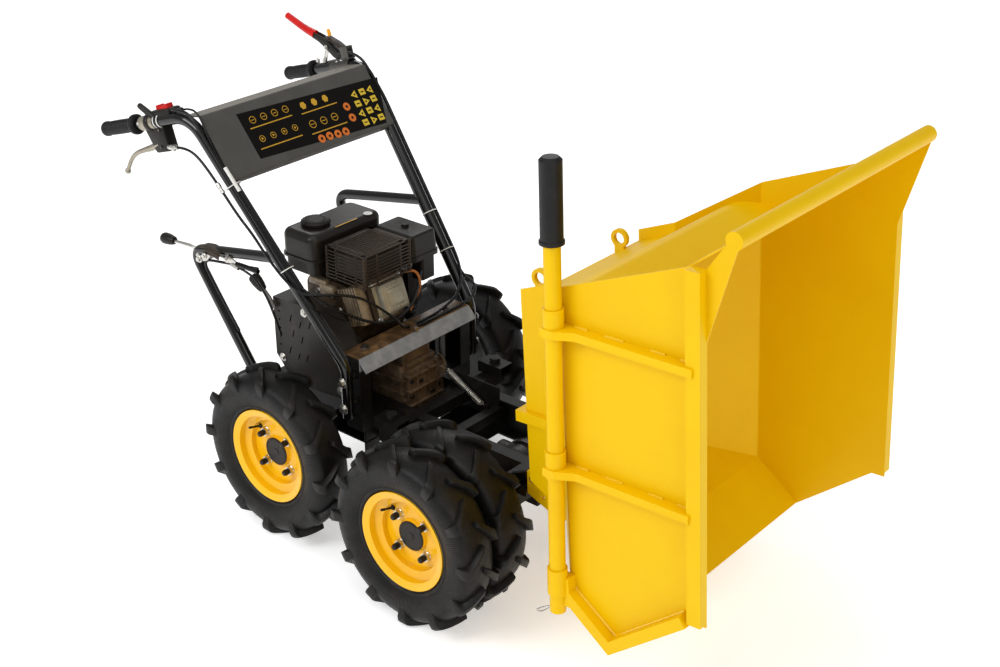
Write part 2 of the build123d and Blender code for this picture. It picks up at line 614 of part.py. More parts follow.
def brake_lever():
    """Hand lever, curved round the knuckles, with its ball end."""
    blade = tube_along(BRAKE_LEVER, [34, 34], 5.5)
    return blade + Pos(*BRAKE_LEVER[-1]) * Sphere(8.5) - switch_housing()


def drive_lever():
    """Dead man's lever over the left grip: clamp, pivot bracket and cranked arm."""
    clamp = along_handle(DRIVE_CLAMP_AT, 1) * (Cylinder(HANDLE_RADIUS + 5, 34) - Cylinder(HANDLE_RADIUS, 40))
    bracket = along_handle(DRIVE_CLAMP_AT, 1) * (block(16, 52, -7, 7, -12, 12))
    return clamp + bracket + tube_along(DRIVE_LEVER[:3], [26], 5.5)


def drive_lever_sleeve():
    """Plastic sleeve on the drive lever's end."""
    start, end = Vector(*DRIVE_LEVER[2]), Vector(*DRIVE_LEVER[3])
    run = end - start
    sleeve = Cylinder(8.5, run.length, align=(Align.CENTER, Align.CENTER, Align.MIN))
    sleeve = fillet(sleeve.edges(), 3)
    return Plane(origin=start, z_dir=run) * sleeve - drive_lever()


def rear_brace(side):
    path = [(x, side * y, z) for x, y, z in BRACE_PATH]
    body = tube_along(path, [40, 5], BRACE_RADIUS)
    return body


def gear_levers():
    """Gear change bracket on the right brace with its rod, and the belt lever beside the guard."""
    y0, y1 = -248.0, -218.0
    body = strip_xz([(-336, 596), (-330, 618), (-262, 632), (-258, 612)], 4, 4, y0, y1)
    body += plate_xz([(-336, 594), (-330, 616), (-262, 630), (-252, 612)], y1 - 4, y1)
    body += tube_along([(-300, y1 - 2, 612), (-362, y1 - 2, 604), (-462, y1 - 4, 584)], [24], 4.5)
    body += rod(-300, 612, y1 - 6, y1 + 6, 9)
    body += tube_along([(-112, -188, 508), (-134, -190, 540), (-172, -200, 566)], [20], 4.5)
    body += rod(-118, 502, -192, -182, 9)
    return body - rear_brace(-1)


def gear_knobs():
    """Tapered knobs on the two levers."""
    knobs = []
    seats = (((-460, -222, 584.4), (-1, 0, -0.2)), ((-170, -199.5, 565), (-0.82, -0.2, 0.54)))
    for at, away in seats:
        knob = Cone(10, 14, 44, align=(Align.CENTER, Align.CENTER, Align.MIN))
        knob = fillet(knob.faces().sort_by(Axis.Z)[-1].edges(), 4)
        knobs.append(Plane(origin=at, z_dir=away) * knob)
    return [knob - gear_levers() for knob in knobs]


def round_corners(points, share=0.45):
    """The largest tangent arcs that the runs beside each corner allow."""
    radii = []
    corners = [Vector(*p) for p in points]
    for before, corner, after in zip(corners, corners[1:], corners[2:]):
        turn = math.radians((corner - before).get_angle(after - corner))
        shorter = min((corner - before).length, (after - corner).length)
        radii.append(share * shorter / math.tan(turn / 2))
    return radii


def beside(x, side, out, up):
    """A point next to a handle: at x on its centre line, then outwards and square off its upper face."""
    a, b = HANDLE_PATH[:2] if x < HANDLE_PATH[1][0] else HANDLE_PATH[1:3]
    share = (x - a[0]) / (b[0] - a[0])
    run = math.hypot(b[0] - a[0], b[2] - a[2])
    nx, nz = (a[2] - b[2]) / run, (b[0] - a[0]) / run
    y = a[1] + share * (b[1] - a[1]) + out
    return (x + nx * up, side * y, a[2] + share * (b[2] - a[2]) + nz * up)


def cable_paths():
    """Each cable from its control, along its handle and down to the anchor on the stand."""
    lever_foot = along_handle(HOUSING_AT, -1) * Pos(-66, 0, 26.8)
    clamp_face = along_handle(DRIVE_CLAMP_AT, 1) * Pos(0, -18, 18)
    bracket_face = along_handle(DRIVE_CLAMP_AT, 1) * Pos(30, 0, 12.4)
    anchor_top = CROSSBAR_TOP + CABLE_RADIUS + 0.3
    half = ANCHOR[2] + 0.6
    return {
        "throttle_cable": [beside(-341, -1, 0, 19), beside(-318, -1, 6, 20), (-270, -281, 962),
                           beside(-225, -1, 12, 16), beside(-14, -1, 12, 16), (44, -208, 560), (80, -150, 516),
                           (101, -88, 480), (106, -22, 468), (103, 34, 490), (96, 62, 526), (84, 84, 552)],
        "brake_cable": [tuple(lever_foot.position), (-288, -284, 838), (-224, -284, 790), (-168, -280, 734),
                        (-110, -274, 676), (-58, -264, 634), beside(-16, -1, 19, 0), beside(24, -1, 12, 26),
                        (62, -190, 584), (84, -130, 562), (104, -80, 520), (120, -42, 480), (125, -24, 452),
                        (125, -half, 449)],
        "drive_cable": [tuple(bracket_face.position), (-318, 268, 974), (-272, 268, 966), beside(-226, 1, 12, 17),
                        beside(50, 1, 12, 17), (98, 214, 494), (108, 184, 458), (116, 110, anchor_top),
                        (119, 40, anchor_top), (119, half, 446)],
        "gear_cable": [tuple(clamp_face.position), beside(-300, 1, 18.6, 0), beside(-262, 1, 18.6, 4),
                       beside(-220, 1, 18.6, 0), beside(74, 1, 18.6, 0), (114, 246, 470), (130, 222, 452),
                       (131, 170, anchor_top), (131, 60, anchor_top), (131, half, 446)],
    }


def cable(points):
    return tube_along(points, round_corners(points), CABLE_RADIUS)


def tension_spring():
    """Gear change return spring, as the outer shape of its coil, with the wire ends."""
    start, end = Vector(*SPRING_ENDS[0]), Vector(*SPRING_ENDS[1])
    run = (end - start).normalized()
    start += run * 4.5
    long = (end - start).length
    wire = Cylinder(2, long) + Cylinder(SPRING_RADIUS, long - 24)
    return Plane(origin=(start + end) / 2, z_dir=run) * wire


def handle_tube(side):
    points = [(x, side * y, z) for x, y, z in HANDLE_PATH]
    return tube_along(points, list(HANDLE_BENDS), HANDLE_RADIUS)


# ---- skip, drawn level about its hinge: x is forwards, z is up ----
REAR_EDGE = ((FLOOR_REAR, FLOOR_H), (FLANK_REAR, FLANK_H), (WALL_REAR, WALL_H), (RIM_REAR, RIM_H))
FRONT_EDGE = ((RIM_FRONT, RIM_H), (LIP_FRONT, LIP_H), (WALL_FRONT, WALL_H), (FLOOR_FRONT, FLOOR_H))
LEAN = Pos(HINGE_X, 0, HINGE_Z) * Rot(0, TIP_ANGLE, 0)
mid = SHEET / 2


def side_panel(side):
    """One bent sheet: hopper side, sloping flank and upper wall, cut to the side outline."""
    top = RIM_H + RIM_BAR
    line = [(side * (HOPPER_HALF - mid), FLOOR_H), (side * (HOPPER_HALF - mid), FLANK_H),
            (side * (SKIP_HALF - mid), WALL_H), (side * (SKIP_HALF - mid), top)]
    section = trace(FilletPolyline(*line, radius=8), line_width=SHEET)
    bent = Pos(-250, 0, 0) * extrude(Plane.YZ * section, amount=500, both=True)
    outline = list(REAR_EDGE) + [(RIM_REAR, top), (RIM_FRONT, top)] + list(FRONT_EDGE)
    window = plate_xz(outline, -SKIP_HALF - 5, SKIP_HALF + 5)
    return biggest(bent & window)


def inside(shape, panels):
    """What lies between the two side panels, up to their mid faces."""
    half = [(HOPPER_HALF - mid, FLOOR_H - 5), (HOPPER_HALF - mid, FLANK_H), (SKIP_HALF - mid, WALL_H),
            (SKIP_HALF - mid, GUARD_TUBE_H + 60)]
    outline = [(y, h) for y, h in half] + [(-y, h) for y, h in reversed(half)]
    shape = shape & extrude(Plane.YZ * make_face(Polyline(*outline, close=True)), amount=1000, both=True)
    return biggest(cut_by(shape, panels))


def skip_floor(panels):
    """Hopper floor and front wall: one bent sheet that ends in the pouring lip."""
    line = [(FLOOR_REAR + REAR_INSET, FLOOR_H + mid), (FLOOR_FRONT + 0.6, FLOOR_H + mid),
            (WALL_FRONT - 1.4, WALL_H + 0.8), (LIP_FRONT - 1.6, LIP_H + 0.6)]
    sheet = strip_xz(line, 8, SHEET, -SKIP_HALF + SHEET, SKIP_HALF - SHEET)
    return inside(sheet, panels)


def skip_rear_wall(panels, floor):
    line = [(FLOOR_REAR + REAR_INSET, FLOOR_H + SHEET), (FLANK_REAR + REAR_INSET + 5, FLANK_H),
            (CREST_A, CREST_H), (VALLEY_A, VALLEY_H)]
    sheet = strip_xz(line, [8, 40], SHEET, -SKIP_HALF + SHEET, SKIP_HALF - SHEET)
    return inside(sheet - floor, panels)


def spill_guard(panels, wall):
    """Leaning top sheet, its round top tube and the two corner gussets."""
    line = [(VALLEY_A, VALLEY_H), (GUARD_TUBE_A, GUARD_TUBE_H)]
    sheet = strip_xz(line, None, SHEET, -SKIP_HALF + SHEET, SKIP_HALF - SHEET)
    tube = rod(GUARD_TUBE_A, GUARD_TUBE_H, -SKIP_HALF, SKIP_HALF, GUARD_TUBE_RADIUS)
    body = inside(sheet - wall, panels) + tube
    for side in (-1, 1):
        gusset = plate_xz([(RIM_REAR, RIM_H + RIM_BAR), (RIM_REAR + 135, RIM_H + RIM_BAR),
                           (GUARD_TUBE_A + 12, GUARD_TUBE_H + 8), (GUARD_TUBE_A + 2, GUARD_TUBE_H - 10)],
                          side * (SKIP_HALF - SHEET), side * SKIP_HALF)
        body += gusset
    return biggest(body)


def rim_bar(side):
    inner = side * SKIP_HALF
    return block(RIM_REAR, RIM_FRONT - 8, inner, inner + side * RIM_BAR_OUT, RIM_H, RIM_H + RIM_BAR)


def rib(side, a0, a1, low):
    inner = side * SKIP_HALF
    return block(a0, a1, inner, inner + side * RIB_OUT, low, RIM_H + 8)


def rib_end(a):
    """Stepped end of a right rib that laps over the lever's sleeve."""
    cover = -LEVER_Y - SLEEVE_RADIUS - 2
    start = -SKIP_HALF - RIB_OUT + 1
    outline = [(start, LEVER_H - 15), (cover, LEVER_H - 15), (cover, LEVER_H + 12), (start, LEVER_H + 50)]
    face = make_face(Polyline(*[(a, y, h) for y, h in outline], close=True))
    return extrude(face, amount=SIDE_BAR, dir=(1, 0, 0))


def lever_turn():
    """The tipping lever and the bars square to it lie at a slight angle to the floor."""
    return Pos(LEVER_PIVOT, 0, LEVER_H) * Rot(0, LEVER_TURN, 0) * Pos(-LEVER_PIVOT, 0, -LEVER_H)


def flat_along(p, q, width, y0, y1):
    """A flat bar whose outer edge runs from p to q, its width on the left of that line."""
    dx, dz = q[0] - p[0], q[1] - p[1]
    run = math.hypot(dx, dz)
    nx, nz = -dz / run * width, dx / run * width
    return plate_xz([p, q, (q[0] + nx, q[1] + nz), (p[0] + nx, p[1] + nz)], y0, y1)


def side_ribs(side, panels):
    """Stiffening bars of one side wall; the right side also carries the lever's sleeves."""
    body = Part()
    inner = side * SKIP_HALF
    outer = inner + side * RIB_OUT
    turned = Part()
    low = WALL_H + 8 if side > 0 else LEVER_H - 15
    for a in RIBS_REAR:
        turned += rib(side, a, a + SIDE_BAR, low)
    if side < 0:
        for a in RIBS_REAR:
            turned += rib_end(a)
        for a in SLEEVES:
            turned += Pos(a, -LEVER_Y, LEVER_H) * Rot(0, 90, 0) * Cylinder(SLEEVE_RADIUS, SLEEVE_LONG)
    body += lever_turn() * turned
    body += flat_along((WALL_FRONT - 6, WALL_H - 6), (LIP_FRONT, LIP_H), RIB_WIDE, inner, outer)
    body += flat_along((LIP_FRONT, LIP_H), (RIM_FRONT, RIM_H), RIB_WIDE, inner, outer)
    if side < 0:
        body += block(SLEEVES[2] - 10, WALL_FRONT + 10, inner, outer, LEVER_H - 6, LEVER_H + 20)
        bore = Pos(0, -LEVER_Y, LEVER_H) * Rot(0, 90, 0) * Cylinder(LEVER_RADIUS + SLEEVE_FIT, 1400)
        body -= lever_turn() * bore
    body -= rim_bar(side)
    return cut_by(body, panels)


def cut_by(body, others):
    for other in others:
        body = body - other
    return body


def belly_band(panels):
    """Flat bar that runs round the outside of the hopper."""
    side_out = 12.0
    under = 20.0
    reach_y = 322.0
    slope = (WALL_H - FLANK_H) / (SKIP_HALF - HOPPER_HALF)
    lean = math.atan(slope)
    step_y, step_h = side_out * math.sin(lean), side_out * math.cos(lean)
    reach_h = FLANK_H + (reach_y - HOPPER_HALF) * slope
    corner_h = FLANK_H - step_h + (side_out - step_y) * slope
    half = [(0, FLOOR_H), (HOPPER_HALF, FLOOR_H), (HOPPER_HALF, FLANK_H), (reach_y, reach_h),
            (reach_y + step_y, reach_h - step_h), (HOPPER_HALF + side_out, corner_h),
            (HOPPER_HALF + side_out, FLOOR_H - under), (0, FLOOR_H - under)]
    a0 = BAND_A
    outline = make_face(Polyline(*[(a0, y, h) for y, h in half], close=True))
    right = extrude(outline, amount=RIB_WIDE, dir=(1, 0, 0))
    return biggest(cut_by(right + mirror(right, Plane.XZ), panels))


def tipping_lever():
    long = LEVER_FRONT - LEVER_REAR - 6
    middle = (LEVER_FRONT + LEVER_REAR + 6) / 2
    body = Pos(middle, -LEVER_Y, LEVER_H) * Rot(0, 90, 0) * Cylinder(LEVER_RADIUS, long)
    body -= Pos(LEVER_FRONT, -LEVER_Y, LEVER_H) * Rot(0, 90, 0) * Cylinder(LEVER_RADIUS - 3, 2 * 500)
    return lever_turn() * body


def lever_grip():
    radius = 21.5
    long = GRIP_FRONT - LEVER_REAR
    lip = radius + 2.5
    profile = [(0, 0), (0, radius - 6), (6, radius), (long - 8, radius), (long - 6, lip), (long, lip),
               (long, LEVER_RADIUS), (6, LEVER_RADIUS), (6, 0)]
    grip = revolve(make_face(Polyline(*profile, close=True)), axis=Axis.X)
    return lever_turn() * Pos(LEVER_REAR, -LEVER_Y, LEVER_H) * grip


def lifting_eyes(others):
    eyes = []
    for side in (-1, 1):
        ring = rod(EYE_A, EYE_H, side * EYE_Y - 5, side * EYE_Y + 5, EYE_RADIUS)
        ring += block(EYE_A, EYE_A + 40, side * EYE_Y - 5, side * EYE_Y + 5, EYE_H - 12, EYE_H + 12)
        ring -= rod(EYE_A, EYE_H, side * EYE_Y - 6, side * EYE_Y + 6, EYE_HOLE)
        cut = cut_by(ring, others)
        eyes.append(min(cut.solids(), key=lambda s: s.center().X))
    return Compound(children=eyes)


def hinge_ears(floor):
    """Two plates under the hopper's front corner, bored for the hinge pins."""
    outline = [(-30, FLOOR_H), (-15, -15), EAR_TOE, (76, 60), (70, 150), (FLOOR_FRONT, FLOOR_H + 30)]
    ears = []
    for side in (-1, 1):
        y0 = side * (LUG_Y + LUG_THICK + EAR_GAP)
        y1 = y0 + side * EAR_THICK
        ear = plate_xz(outline, min(y0, y1), max(y0, y1))
        ear -= rod(0, 0, y0 - side, y1 + side, PIN_RADIUS + PIN_FIT)
        for x, z, radius in EAR_HOLES:
            ear -= rod(x, z, y0 - side, y1 + side, radius)
        ears.append(biggest(ear - floor))
    return Compound(children=ears)


def hinge_pins():
    pins = []
    for side in (-1, 1):
        tail = LUG_Y + LUG_THICK + EAR_GAP + EAR_THICK + 6
        pins.append(rod(HINGE_X, HINGE_Z, side * (LUG_Y - 8), side * tail, PIN_RADIUS))
    return Compound(children=pins)


def build_skip():
    panels = [side_panel(-1), side_panel(1)]
    floor = skip_floor(panels)
    wall = skip_rear_wall(panels, floor)
    guard = spill_guard(panels, wall)
    return {
        "skip_side_right": panels[0],
        "skip_side_left": panels[1],
        "skip_floor": floor,
        "skip_rear_wall": wall,
        "skip_spill_guard": guard,
        "skip_rim_bar_right": rim_bar(-1),
        "skip_rim_bar_left": rim_bar(1),
        "skip_ribs_right": side_ribs(-1, panels),
        "skip_ribs_left": side_ribs(1, panels),
        "skip_belly_band": belly_band(panels + [floor]),
        "skip_hinge_ears": hinge_ears(floor),
        "skip_lifting_eyes": lifting_eyes([floor, wall]),
        "tipping_lever": tipping_lever(),
        "tipping_lever_grip": lever_grip(),
    }


def main():
    wheels()
    write("front_axle", axle(WHEELBASE))
    write("rear_axle", axle(0))
    write("chassis_frame", chassis_frame())
    write("engine_stand", engine_stand())
    write("engine_deck", engine_deck())
    write("rubber_buffers", rubber_buffers())
    write("hinge_pins", hinge_pins())
    write("gearbox", gearbox())
    write("drive_shaft", drive_shaft())
    write("engine_block", engine_block())
    write("valve_cover", valve_cover())
    write("fan_housing", fan_housing())
    write("fuel_tank", fuel_tank())
    write("fuel_cap", fuel_cap())
    write("muffler", muffler())
    write("muffler_guard", muffler_guard())
    write("air_cleaner", air_cleaner())
    write("belt_guard", belt_guard())
    write("control_panel", control_panel())
    write("grip_right", grip(-1))
    write("grip_left", grip(1))
    write("switch_housing", switch_housing())
    write("brake_lever", brake_lever())
    write("drive_lever", drive_lever())
    write("drive_lever_sleeve", drive_lever_sleeve())
    write("engine_switch", engine_switch())
    write("thumb_lever", thumb_lever())
    write("gear_levers", gear_levers())
    write("gear_knobs", Compound(children=gear_knobs()))
    write("tension_spring", tension_spring())
    for name, points in cable_paths().items():
        write(name, cable(points))
    for side, name in ((-1, "right"), (1, "left")):
        tube = handle_tube(side)
        write(f"handle_tube_{name}", tube)
        write(f"rear_brace_{name}", rear_brace(side) - tube)
    for name, shape in build_skip().items():
        write(name, LEAN * shape)


main()
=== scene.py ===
import json
import math

import bpy
from mathutils import Matrix, Vector


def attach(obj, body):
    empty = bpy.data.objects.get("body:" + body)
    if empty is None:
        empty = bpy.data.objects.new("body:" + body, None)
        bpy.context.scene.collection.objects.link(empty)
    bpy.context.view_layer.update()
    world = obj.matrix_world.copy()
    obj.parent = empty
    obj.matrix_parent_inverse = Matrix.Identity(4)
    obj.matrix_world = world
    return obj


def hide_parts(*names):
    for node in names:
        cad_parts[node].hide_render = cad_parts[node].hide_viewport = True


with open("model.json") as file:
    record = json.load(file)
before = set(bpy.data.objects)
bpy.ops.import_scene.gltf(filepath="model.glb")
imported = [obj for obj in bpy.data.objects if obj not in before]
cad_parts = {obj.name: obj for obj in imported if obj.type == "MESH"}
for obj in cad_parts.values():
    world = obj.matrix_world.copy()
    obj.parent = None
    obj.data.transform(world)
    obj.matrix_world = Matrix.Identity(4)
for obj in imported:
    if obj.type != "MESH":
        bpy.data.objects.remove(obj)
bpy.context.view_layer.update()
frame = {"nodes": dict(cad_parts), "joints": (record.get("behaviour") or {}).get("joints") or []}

# Places: millimetres from the rear axle's middle on the ground, and from the hinge along the skip.
joints = {joint["name"]: joint for joint in frame["joints"]}
REAR_AXLE = Vector(joints["rear_right_spin"]["pos_m"])
FRONT_AXLE = Vector(joints["front_right_spin"]["pos_m"])
HINGE = Vector(joints["skip_tip"]["pos_m"])
TIP = math.radians(-joints["skip_tip"]["range_deg"][0])
REAR_WHEEL_Y = abs(REAR_AXLE.y) * 1000


def at(x, y, z):
    return Vector((REAR_AXLE.x + x / 1000, y / 1000, z / 1000))


def on_skip(a, y, h):
    x = a * math.cos(TIP) + h * math.sin(TIP)
    z = h * math.cos(TIP) - a * math.sin(TIP)
    return Vector((HINGE.x + x / 1000, y / 1000, HINGE.z + z / 1000))


# ---------------------------------------------------------------- finishes


class Value:
    """A number that runs through a finish, with the usual operators."""

    def __init__(self, finish, socket):
        self.finish = finish
        self.socket = socket

    def math(self, operation, *others):
        settings = {"operation": operation}
        node = self.finish.node("ShaderNodeMath", settings, {k: v for k, v in enumerate((self,) + others)})
        return Value(self.finish, node.outputs[0])

    def __add__(self, other):
        return self.math("ADD", other)

    def __sub__(self, other):
        return self.math("SUBTRACT", other)

    def __rsub__(self, other):
        return self.math("MULTIPLY", -1.0).math("ADD", other)

    def __mul__(self, other):
        return self.math("MULTIPLY", other)

    def __truediv__(self, other):
        return self.math("DIVIDE", other)

    __radd__ = __add__

    def above(self, limit, soft=0.1):
        """0 below the limit, 1 above it, with a soft step."""
        return ((self - limit) / soft).math("MAXIMUM", 0.0).math("MINIMUM", 1.0)


class Finish:
    """One surface finish: the shader's own values, then what varies over the surface."""

    def __init__(self, name, color, roughness=0.5, metallic=0.0, coat=0.0, coat_roughness=0.1, specular=0.5):
        self.material = bpy.data.materials.new(name)
        self.material.use_nodes = True
        self.tree = self.material.node_tree
        self.shader = self.tree.nodes["Principled BSDF"]
        self.color = tuple(color) + (1.0,)
        self.set("Base Color", self.color)
        self.set("Roughness", roughness)
        self.set("Metallic", metallic)
        self.set("Coat Weight", coat)
        self.set("Coat Roughness", coat_roughness)
        self.set("Specular IOR Level", specular)
        self.material.diffuse_color = self.color
        self.place = self.node("ShaderNodeTexCoord").outputs["Object"]

    def node(self, kind, settings=None, sockets=None):
        made = self.tree.nodes.new(kind)
        for key, value in (settings or {}).items():
            setattr(made, key, value)
        for key, value in (sockets or {}).items():
            self.feed(made.inputs[key], value)
        return made

    def feed(self, socket, value):
        if isinstance(value, Value):
            self.tree.links.new(value.socket, socket)
        elif isinstance(value, bpy.types.NodeSocket):
            self.tree.links.new(value, socket)
        else:
            socket.default_value = value

    def set(self, name, value):
        self.feed(self.shader.inputs[name], value)

    def noise(self, scale, detail=4.0, rough=0.55):
        node = self.node("ShaderNodeTexNoise", None,
                         {"Vector": self.place, "Scale": scale, "Detail": detail, "Roughness": rough})
        return Value(self, node.outputs[0])

    def cells(self, scale):
        node = self.node("ShaderNodeTexVoronoi", {"feature": "F1"}, {"Vector": self.place, "Scale": scale})
        return Value(self, node.outputs[0])

    def axes(self, center=(0, 0, 0)):
        moved = self.node("ShaderNodeMapping", None,
                          {"Vector": self.place, "Location": tuple(-c for c in center)}).outputs[0]
        split = self.node("ShaderNodeSeparateXYZ", None, {0: moved})
        return [Value(self, split.outputs[k]) for k in range(3)]

    def blend(self, share, first, second):
        """first where share is 0, second where it is 1."""
        node = self.node("ShaderNodeMix", {"data_type": "RGBA"})
        self.feed(node.inputs[0], share)
        for socket, color in ((node.inputs[6], first), (node.inputs[7], second)):
            self.feed(socket, tuple(color) + (1.0,) if isinstance(color, (tuple, list)) and len(color) == 3 else color)
        return node.outputs[2]

    def relief(self, height, depth):
        bump = self.node("ShaderNodeBump", None, {"Height": height, "Distance": depth, "Strength": 1.0})
        self.set("Normal", bump.outputs[0])


def painted(name, color, shade, roughness, coat=0.0, peel=0.00005, dust=None, dust_share=0.35, specular=0.5):
    """Sprayed paint: slow change of tone, orange peel, fine scuffs and, if asked, dust in patches."""
    finish = Finish(name, color, roughness, 0.0, coat, 0.08, specular)
    slow = finish.noise(3.2, 3)
    tone = finish.blend(slow.above(0.42, 0.3), color, shade)
    if dust:
        patches = finish.noise(26, 6, 0.65).above(0.56, 0.16) * dust_share
        tone = finish.blend(patches, tone, dust)
    finish.set("Base Color", tone)
    scuff = finish.noise(90, 5, 0.7)
    finish.set("Roughness", roughness + (scuff - 0.5) * 0.16)
    finish.relief(finish.noise(420, 2) + slow * 2, peel)
    return finish.material


def cast(name, color, shade, roughness, metallic, grain=700, depth=0.0003, stain=None):
    """Cast or rough metal: coarse grain and, if asked, stains."""
    finish = Finish(name, color, roughness, metallic)
    cloud = finish.noise(22, 6, 0.65)
    tone = finish.blend(cloud.above(0.38, 0.3), color, shade)
    if stain:
        tone = finish.blend(finish.noise(48, 6, 0.7).above(0.55, 0.12) * 0.7, tone, stain)
    finish.set("Base Color", tone)
    finish.set("Roughness", roughness + (cloud - 0.5) * 0.3)
    finish.relief(finish.noise(grain, 3, 0.6) + finish.cells(grain * 0.6) * 0.4, depth)
    return finish.material


def moulded(name, color, shade, roughness, grain=900, depth=0.00012):
    """Moulded plastic or rubber with a fine leather grain."""
    finish = Finish(name, color, roughness, specular=0.28)
    cloud = finish.noise(30, 4)
    finish.set("Base Color", finish.blend(cloud.above(0.45, 0.3), color, shade))
    finish.set("Roughness", roughness + (cloud - 0.5) * 0.2)
    finish.relief(finish.cells(grain), depth)
    return finish.material


def plated(name, color, shade, roughness):
    """Zinc plate or bare steel with light scratches."""
    finish = Finish(name, color, roughness, 1.0)
    cloud = finish.noise(60, 5)
    scratch = finish.noise(500, 3, 0.6)
    finish.set("Base Color", finish.blend(cloud.above(0.4, 0.35), color, shade))
    finish.set("Roughness", roughness + (scratch - 0.5) * 0.25)
    finish.relief(scratch, 0.00004)
    return finish.material


# the side wall's radii in metres, and the number of fine lines round it
WALL_INNER, WALL_OUTER, WALL_LINES = 0.124, 0.172, 240


def tyre_rubber(name, center):
    """Tyre rubber: brown bloom, mould grain and the fine radial lines of the side wall."""
    finish = Finish(name, (0.0045, 0.0040, 0.0036), 0.5, specular=0.22)
    x, y, z = finish.axes(center)
    radius = (x * x + z * z).math("POWER", 0.5)
    turn = z.math("ARCTAN2", x)
    wall = radius.above(WALL_INNER, 0.004) * (1 - radius.above(WALL_OUTER, 0.006))
    lines = (turn * WALL_LINES).math("SINE") * wall
    bloom = finish.noise(17, 6, 0.6).above(0.45, 0.25)
    tone = finish.blend(bloom * 0.5, (0.0040, 0.0038, 0.0036), (0.017, 0.012, 0.009))
    specks = finish.noise(140, 4, 0.7).above(0.6, 0.08) * 0.4
    finish.set("Base Color", finish.blend(specks, tone, (0.030, 0.024, 0.019)))
    finish.set("Roughness", 0.46 + (finish.noise(40, 4) - 0.5) * 0.3)
    finish.relief(lines * 0.5 + finish.noise(600, 3) * 0.5 + finish.noise(60, 3) * 1.2, 0.0005)
    return finish.material


SKIP_YELLOW = painted("skip_yellow", (0.82, 0.515, 0.0), (0.79, 0.47, 0.0), 0.4, 0.0, 0.00012,
                      (0.72, 0.38, 0.0), 0.12, 0.14)
WELD_YELLOW = painted("weld_yellow", (0.84, 0.53, 0.003), (0.80, 0.48, 0.002), 0.26, 0.4, 0.0002)


RIM_TONE, RIM_SHADE = (0.90, 0.50, 0.001), (0.86, 0.45, 0.001)
# the y of the rear rims' inner face in metres; the side beyond it, towards the chassis, gets painted shade
RIM_INNER_FACE = REAR_WHEEL_Y / 1000 - 0.0068


def rear_rim_paint():
    """Rim paint outside; painted shade on the side that faces the chassis, near black and rougher there."""
    finish = Finish("rear_rim_yellow", RIM_TONE, 0.24, 0.0, 0.2, specular=0.3)
    x, y, z = finish.axes()
    inner = 1 - y.math("ABSOLUTE").above(RIM_INNER_FACE, 0.0004)
    slow = finish.noise(3.2, 3)
    tone = finish.blend(slow.above(0.42, 0.3), RIM_TONE, RIM_SHADE)
    # painted shade: the side that faces the chassis is painted near black
    finish.set("Base Color", finish.blend(inner, tone, (0.012, 0.010, 0.008)))
    finish.set("Roughness", 0.24 + inner * 0.3)
    finish.relief(finish.noise(420, 2), 0.00006)
    return finish.material


REAR_RIM_YELLOW = rear_rim_paint()
RIM_YELLOW = painted("rim_yellow", RIM_TONE, RIM_SHADE, 0.22, 0.25, 0.00006, (0.30, 0.17, 0.03), 0.18, 0.3)
GLOSS_BLACK = painted("tube_black", (0.0035, 0.0033, 0.0032), (0.006, 0.0055, 0.005), 0.16, 0.3, 0.00004,
                     specular=0.35)
FRAME_BLACK = painted("frame_black", (0.004, 0.0036, 0.0033), (0.007, 0.006, 0.005), 0.45, 0.0, 0.0001,
                      (0.035, 0.024, 0.016), 0.22, 0.16)


# metres from the rear axle: the fold along the panel's top, which gets a painted highlight
PANEL_FOLD = -0.2655


def panel_coat():
    """The panel's powder coat, with a painted highlight on the fold along its top."""
    finish = Finish("panel_powder_coat", (0.030, 0.028, 0.024), 0.5, specular=0.25)
    x, y, z = finish.axes(at(0, 0, 0))
    fold = 1 - x.above(PANEL_FOLD, 0.003)
    cloud = finish.noise(14, 4)
    face = finish.blend(cloud.above(0.42, 0.3), (0.070, 0.068, 0.062), (0.084, 0.082, 0.076))
    # painted highlight: the fold is painted paler than the face
    finish.set("Base Color", finish.blend(fold, face, (0.19, 0.176, 0.148)))
    finish.relief(finish.cells(900), 0.00015)
    return finish.material


PANEL_BLACK = panel_coat()
GUARD_RUST = painted("guard_rust_brown", (0.020, 0.0125, 0.0072), (0.040, 0.025, 0.014), 0.5, 0.0, 0.0002,
                     (0.08, 0.045, 0.024), 0.3, 0.25)
TANK_BLACK = painted("tank_black", (0.011, 0.0088, 0.0066), (0.019, 0.0145, 0.010), 0.34, 0.06, 0.00006,
                     (0.05, 0.036, 0.024), 0.22, 0.3)
GUARD_BLACK = painted("guard_black", (0.009, 0.0068, 0.0048), (0.018, 0.0125, 0.008), 0.4, 0.04, 0.0001,
                      (0.06, 0.038, 0.022), 0.35, 0.3)
GEAR_CASE = cast("gear_case_iron", (0.10, 0.064, 0.038), (0.24, 0.16, 0.098), 0.42, 0.3, 620, 0.0004,
                 (0.05, 0.026, 0.012))
ENGINE_CAST = cast("engine_castings", (0.040, 0.025, 0.015), (0.12, 0.076, 0.042), 0.4, 0.4, 700, 0.0003,
                   (0.21, 0.12, 0.055))
FIN_CAST = cast("cylinder_castings", (0.24, 0.18, 0.12), (0.46, 0.37, 0.26), 0.42, 0.45, 900, 0.0002,
                (0.10, 0.055, 0.025))
COVER_CAST = cast("champagne_cover", (0.34, 0.31, 0.24), (0.50, 0.46, 0.37), 0.34, 0.45, 1200, 0.00012)
AXLE_IRON = cast("axle_iron", (0.008, 0.007, 0.006), (0.022, 0.017, 0.013), 0.42, 0.3, 700, 0.0003,
                 (0.07, 0.042, 0.025))
LEVER_ALLOY = cast("lever_alloy", (0.30, 0.27, 0.21), (0.42, 0.38, 0.30), 0.3, 0.6, 900, 0.0001)
LEVER_DARK = cast("lever_bracket_iron", (0.045, 0.042, 0.037), (0.10, 0.094, 0.082), 0.36, 0.5, 900, 0.0001)
PLASTIC = moulded("black_plastic", (0.008, 0.0066, 0.005), (0.014, 0.011, 0.0078), 0.42)
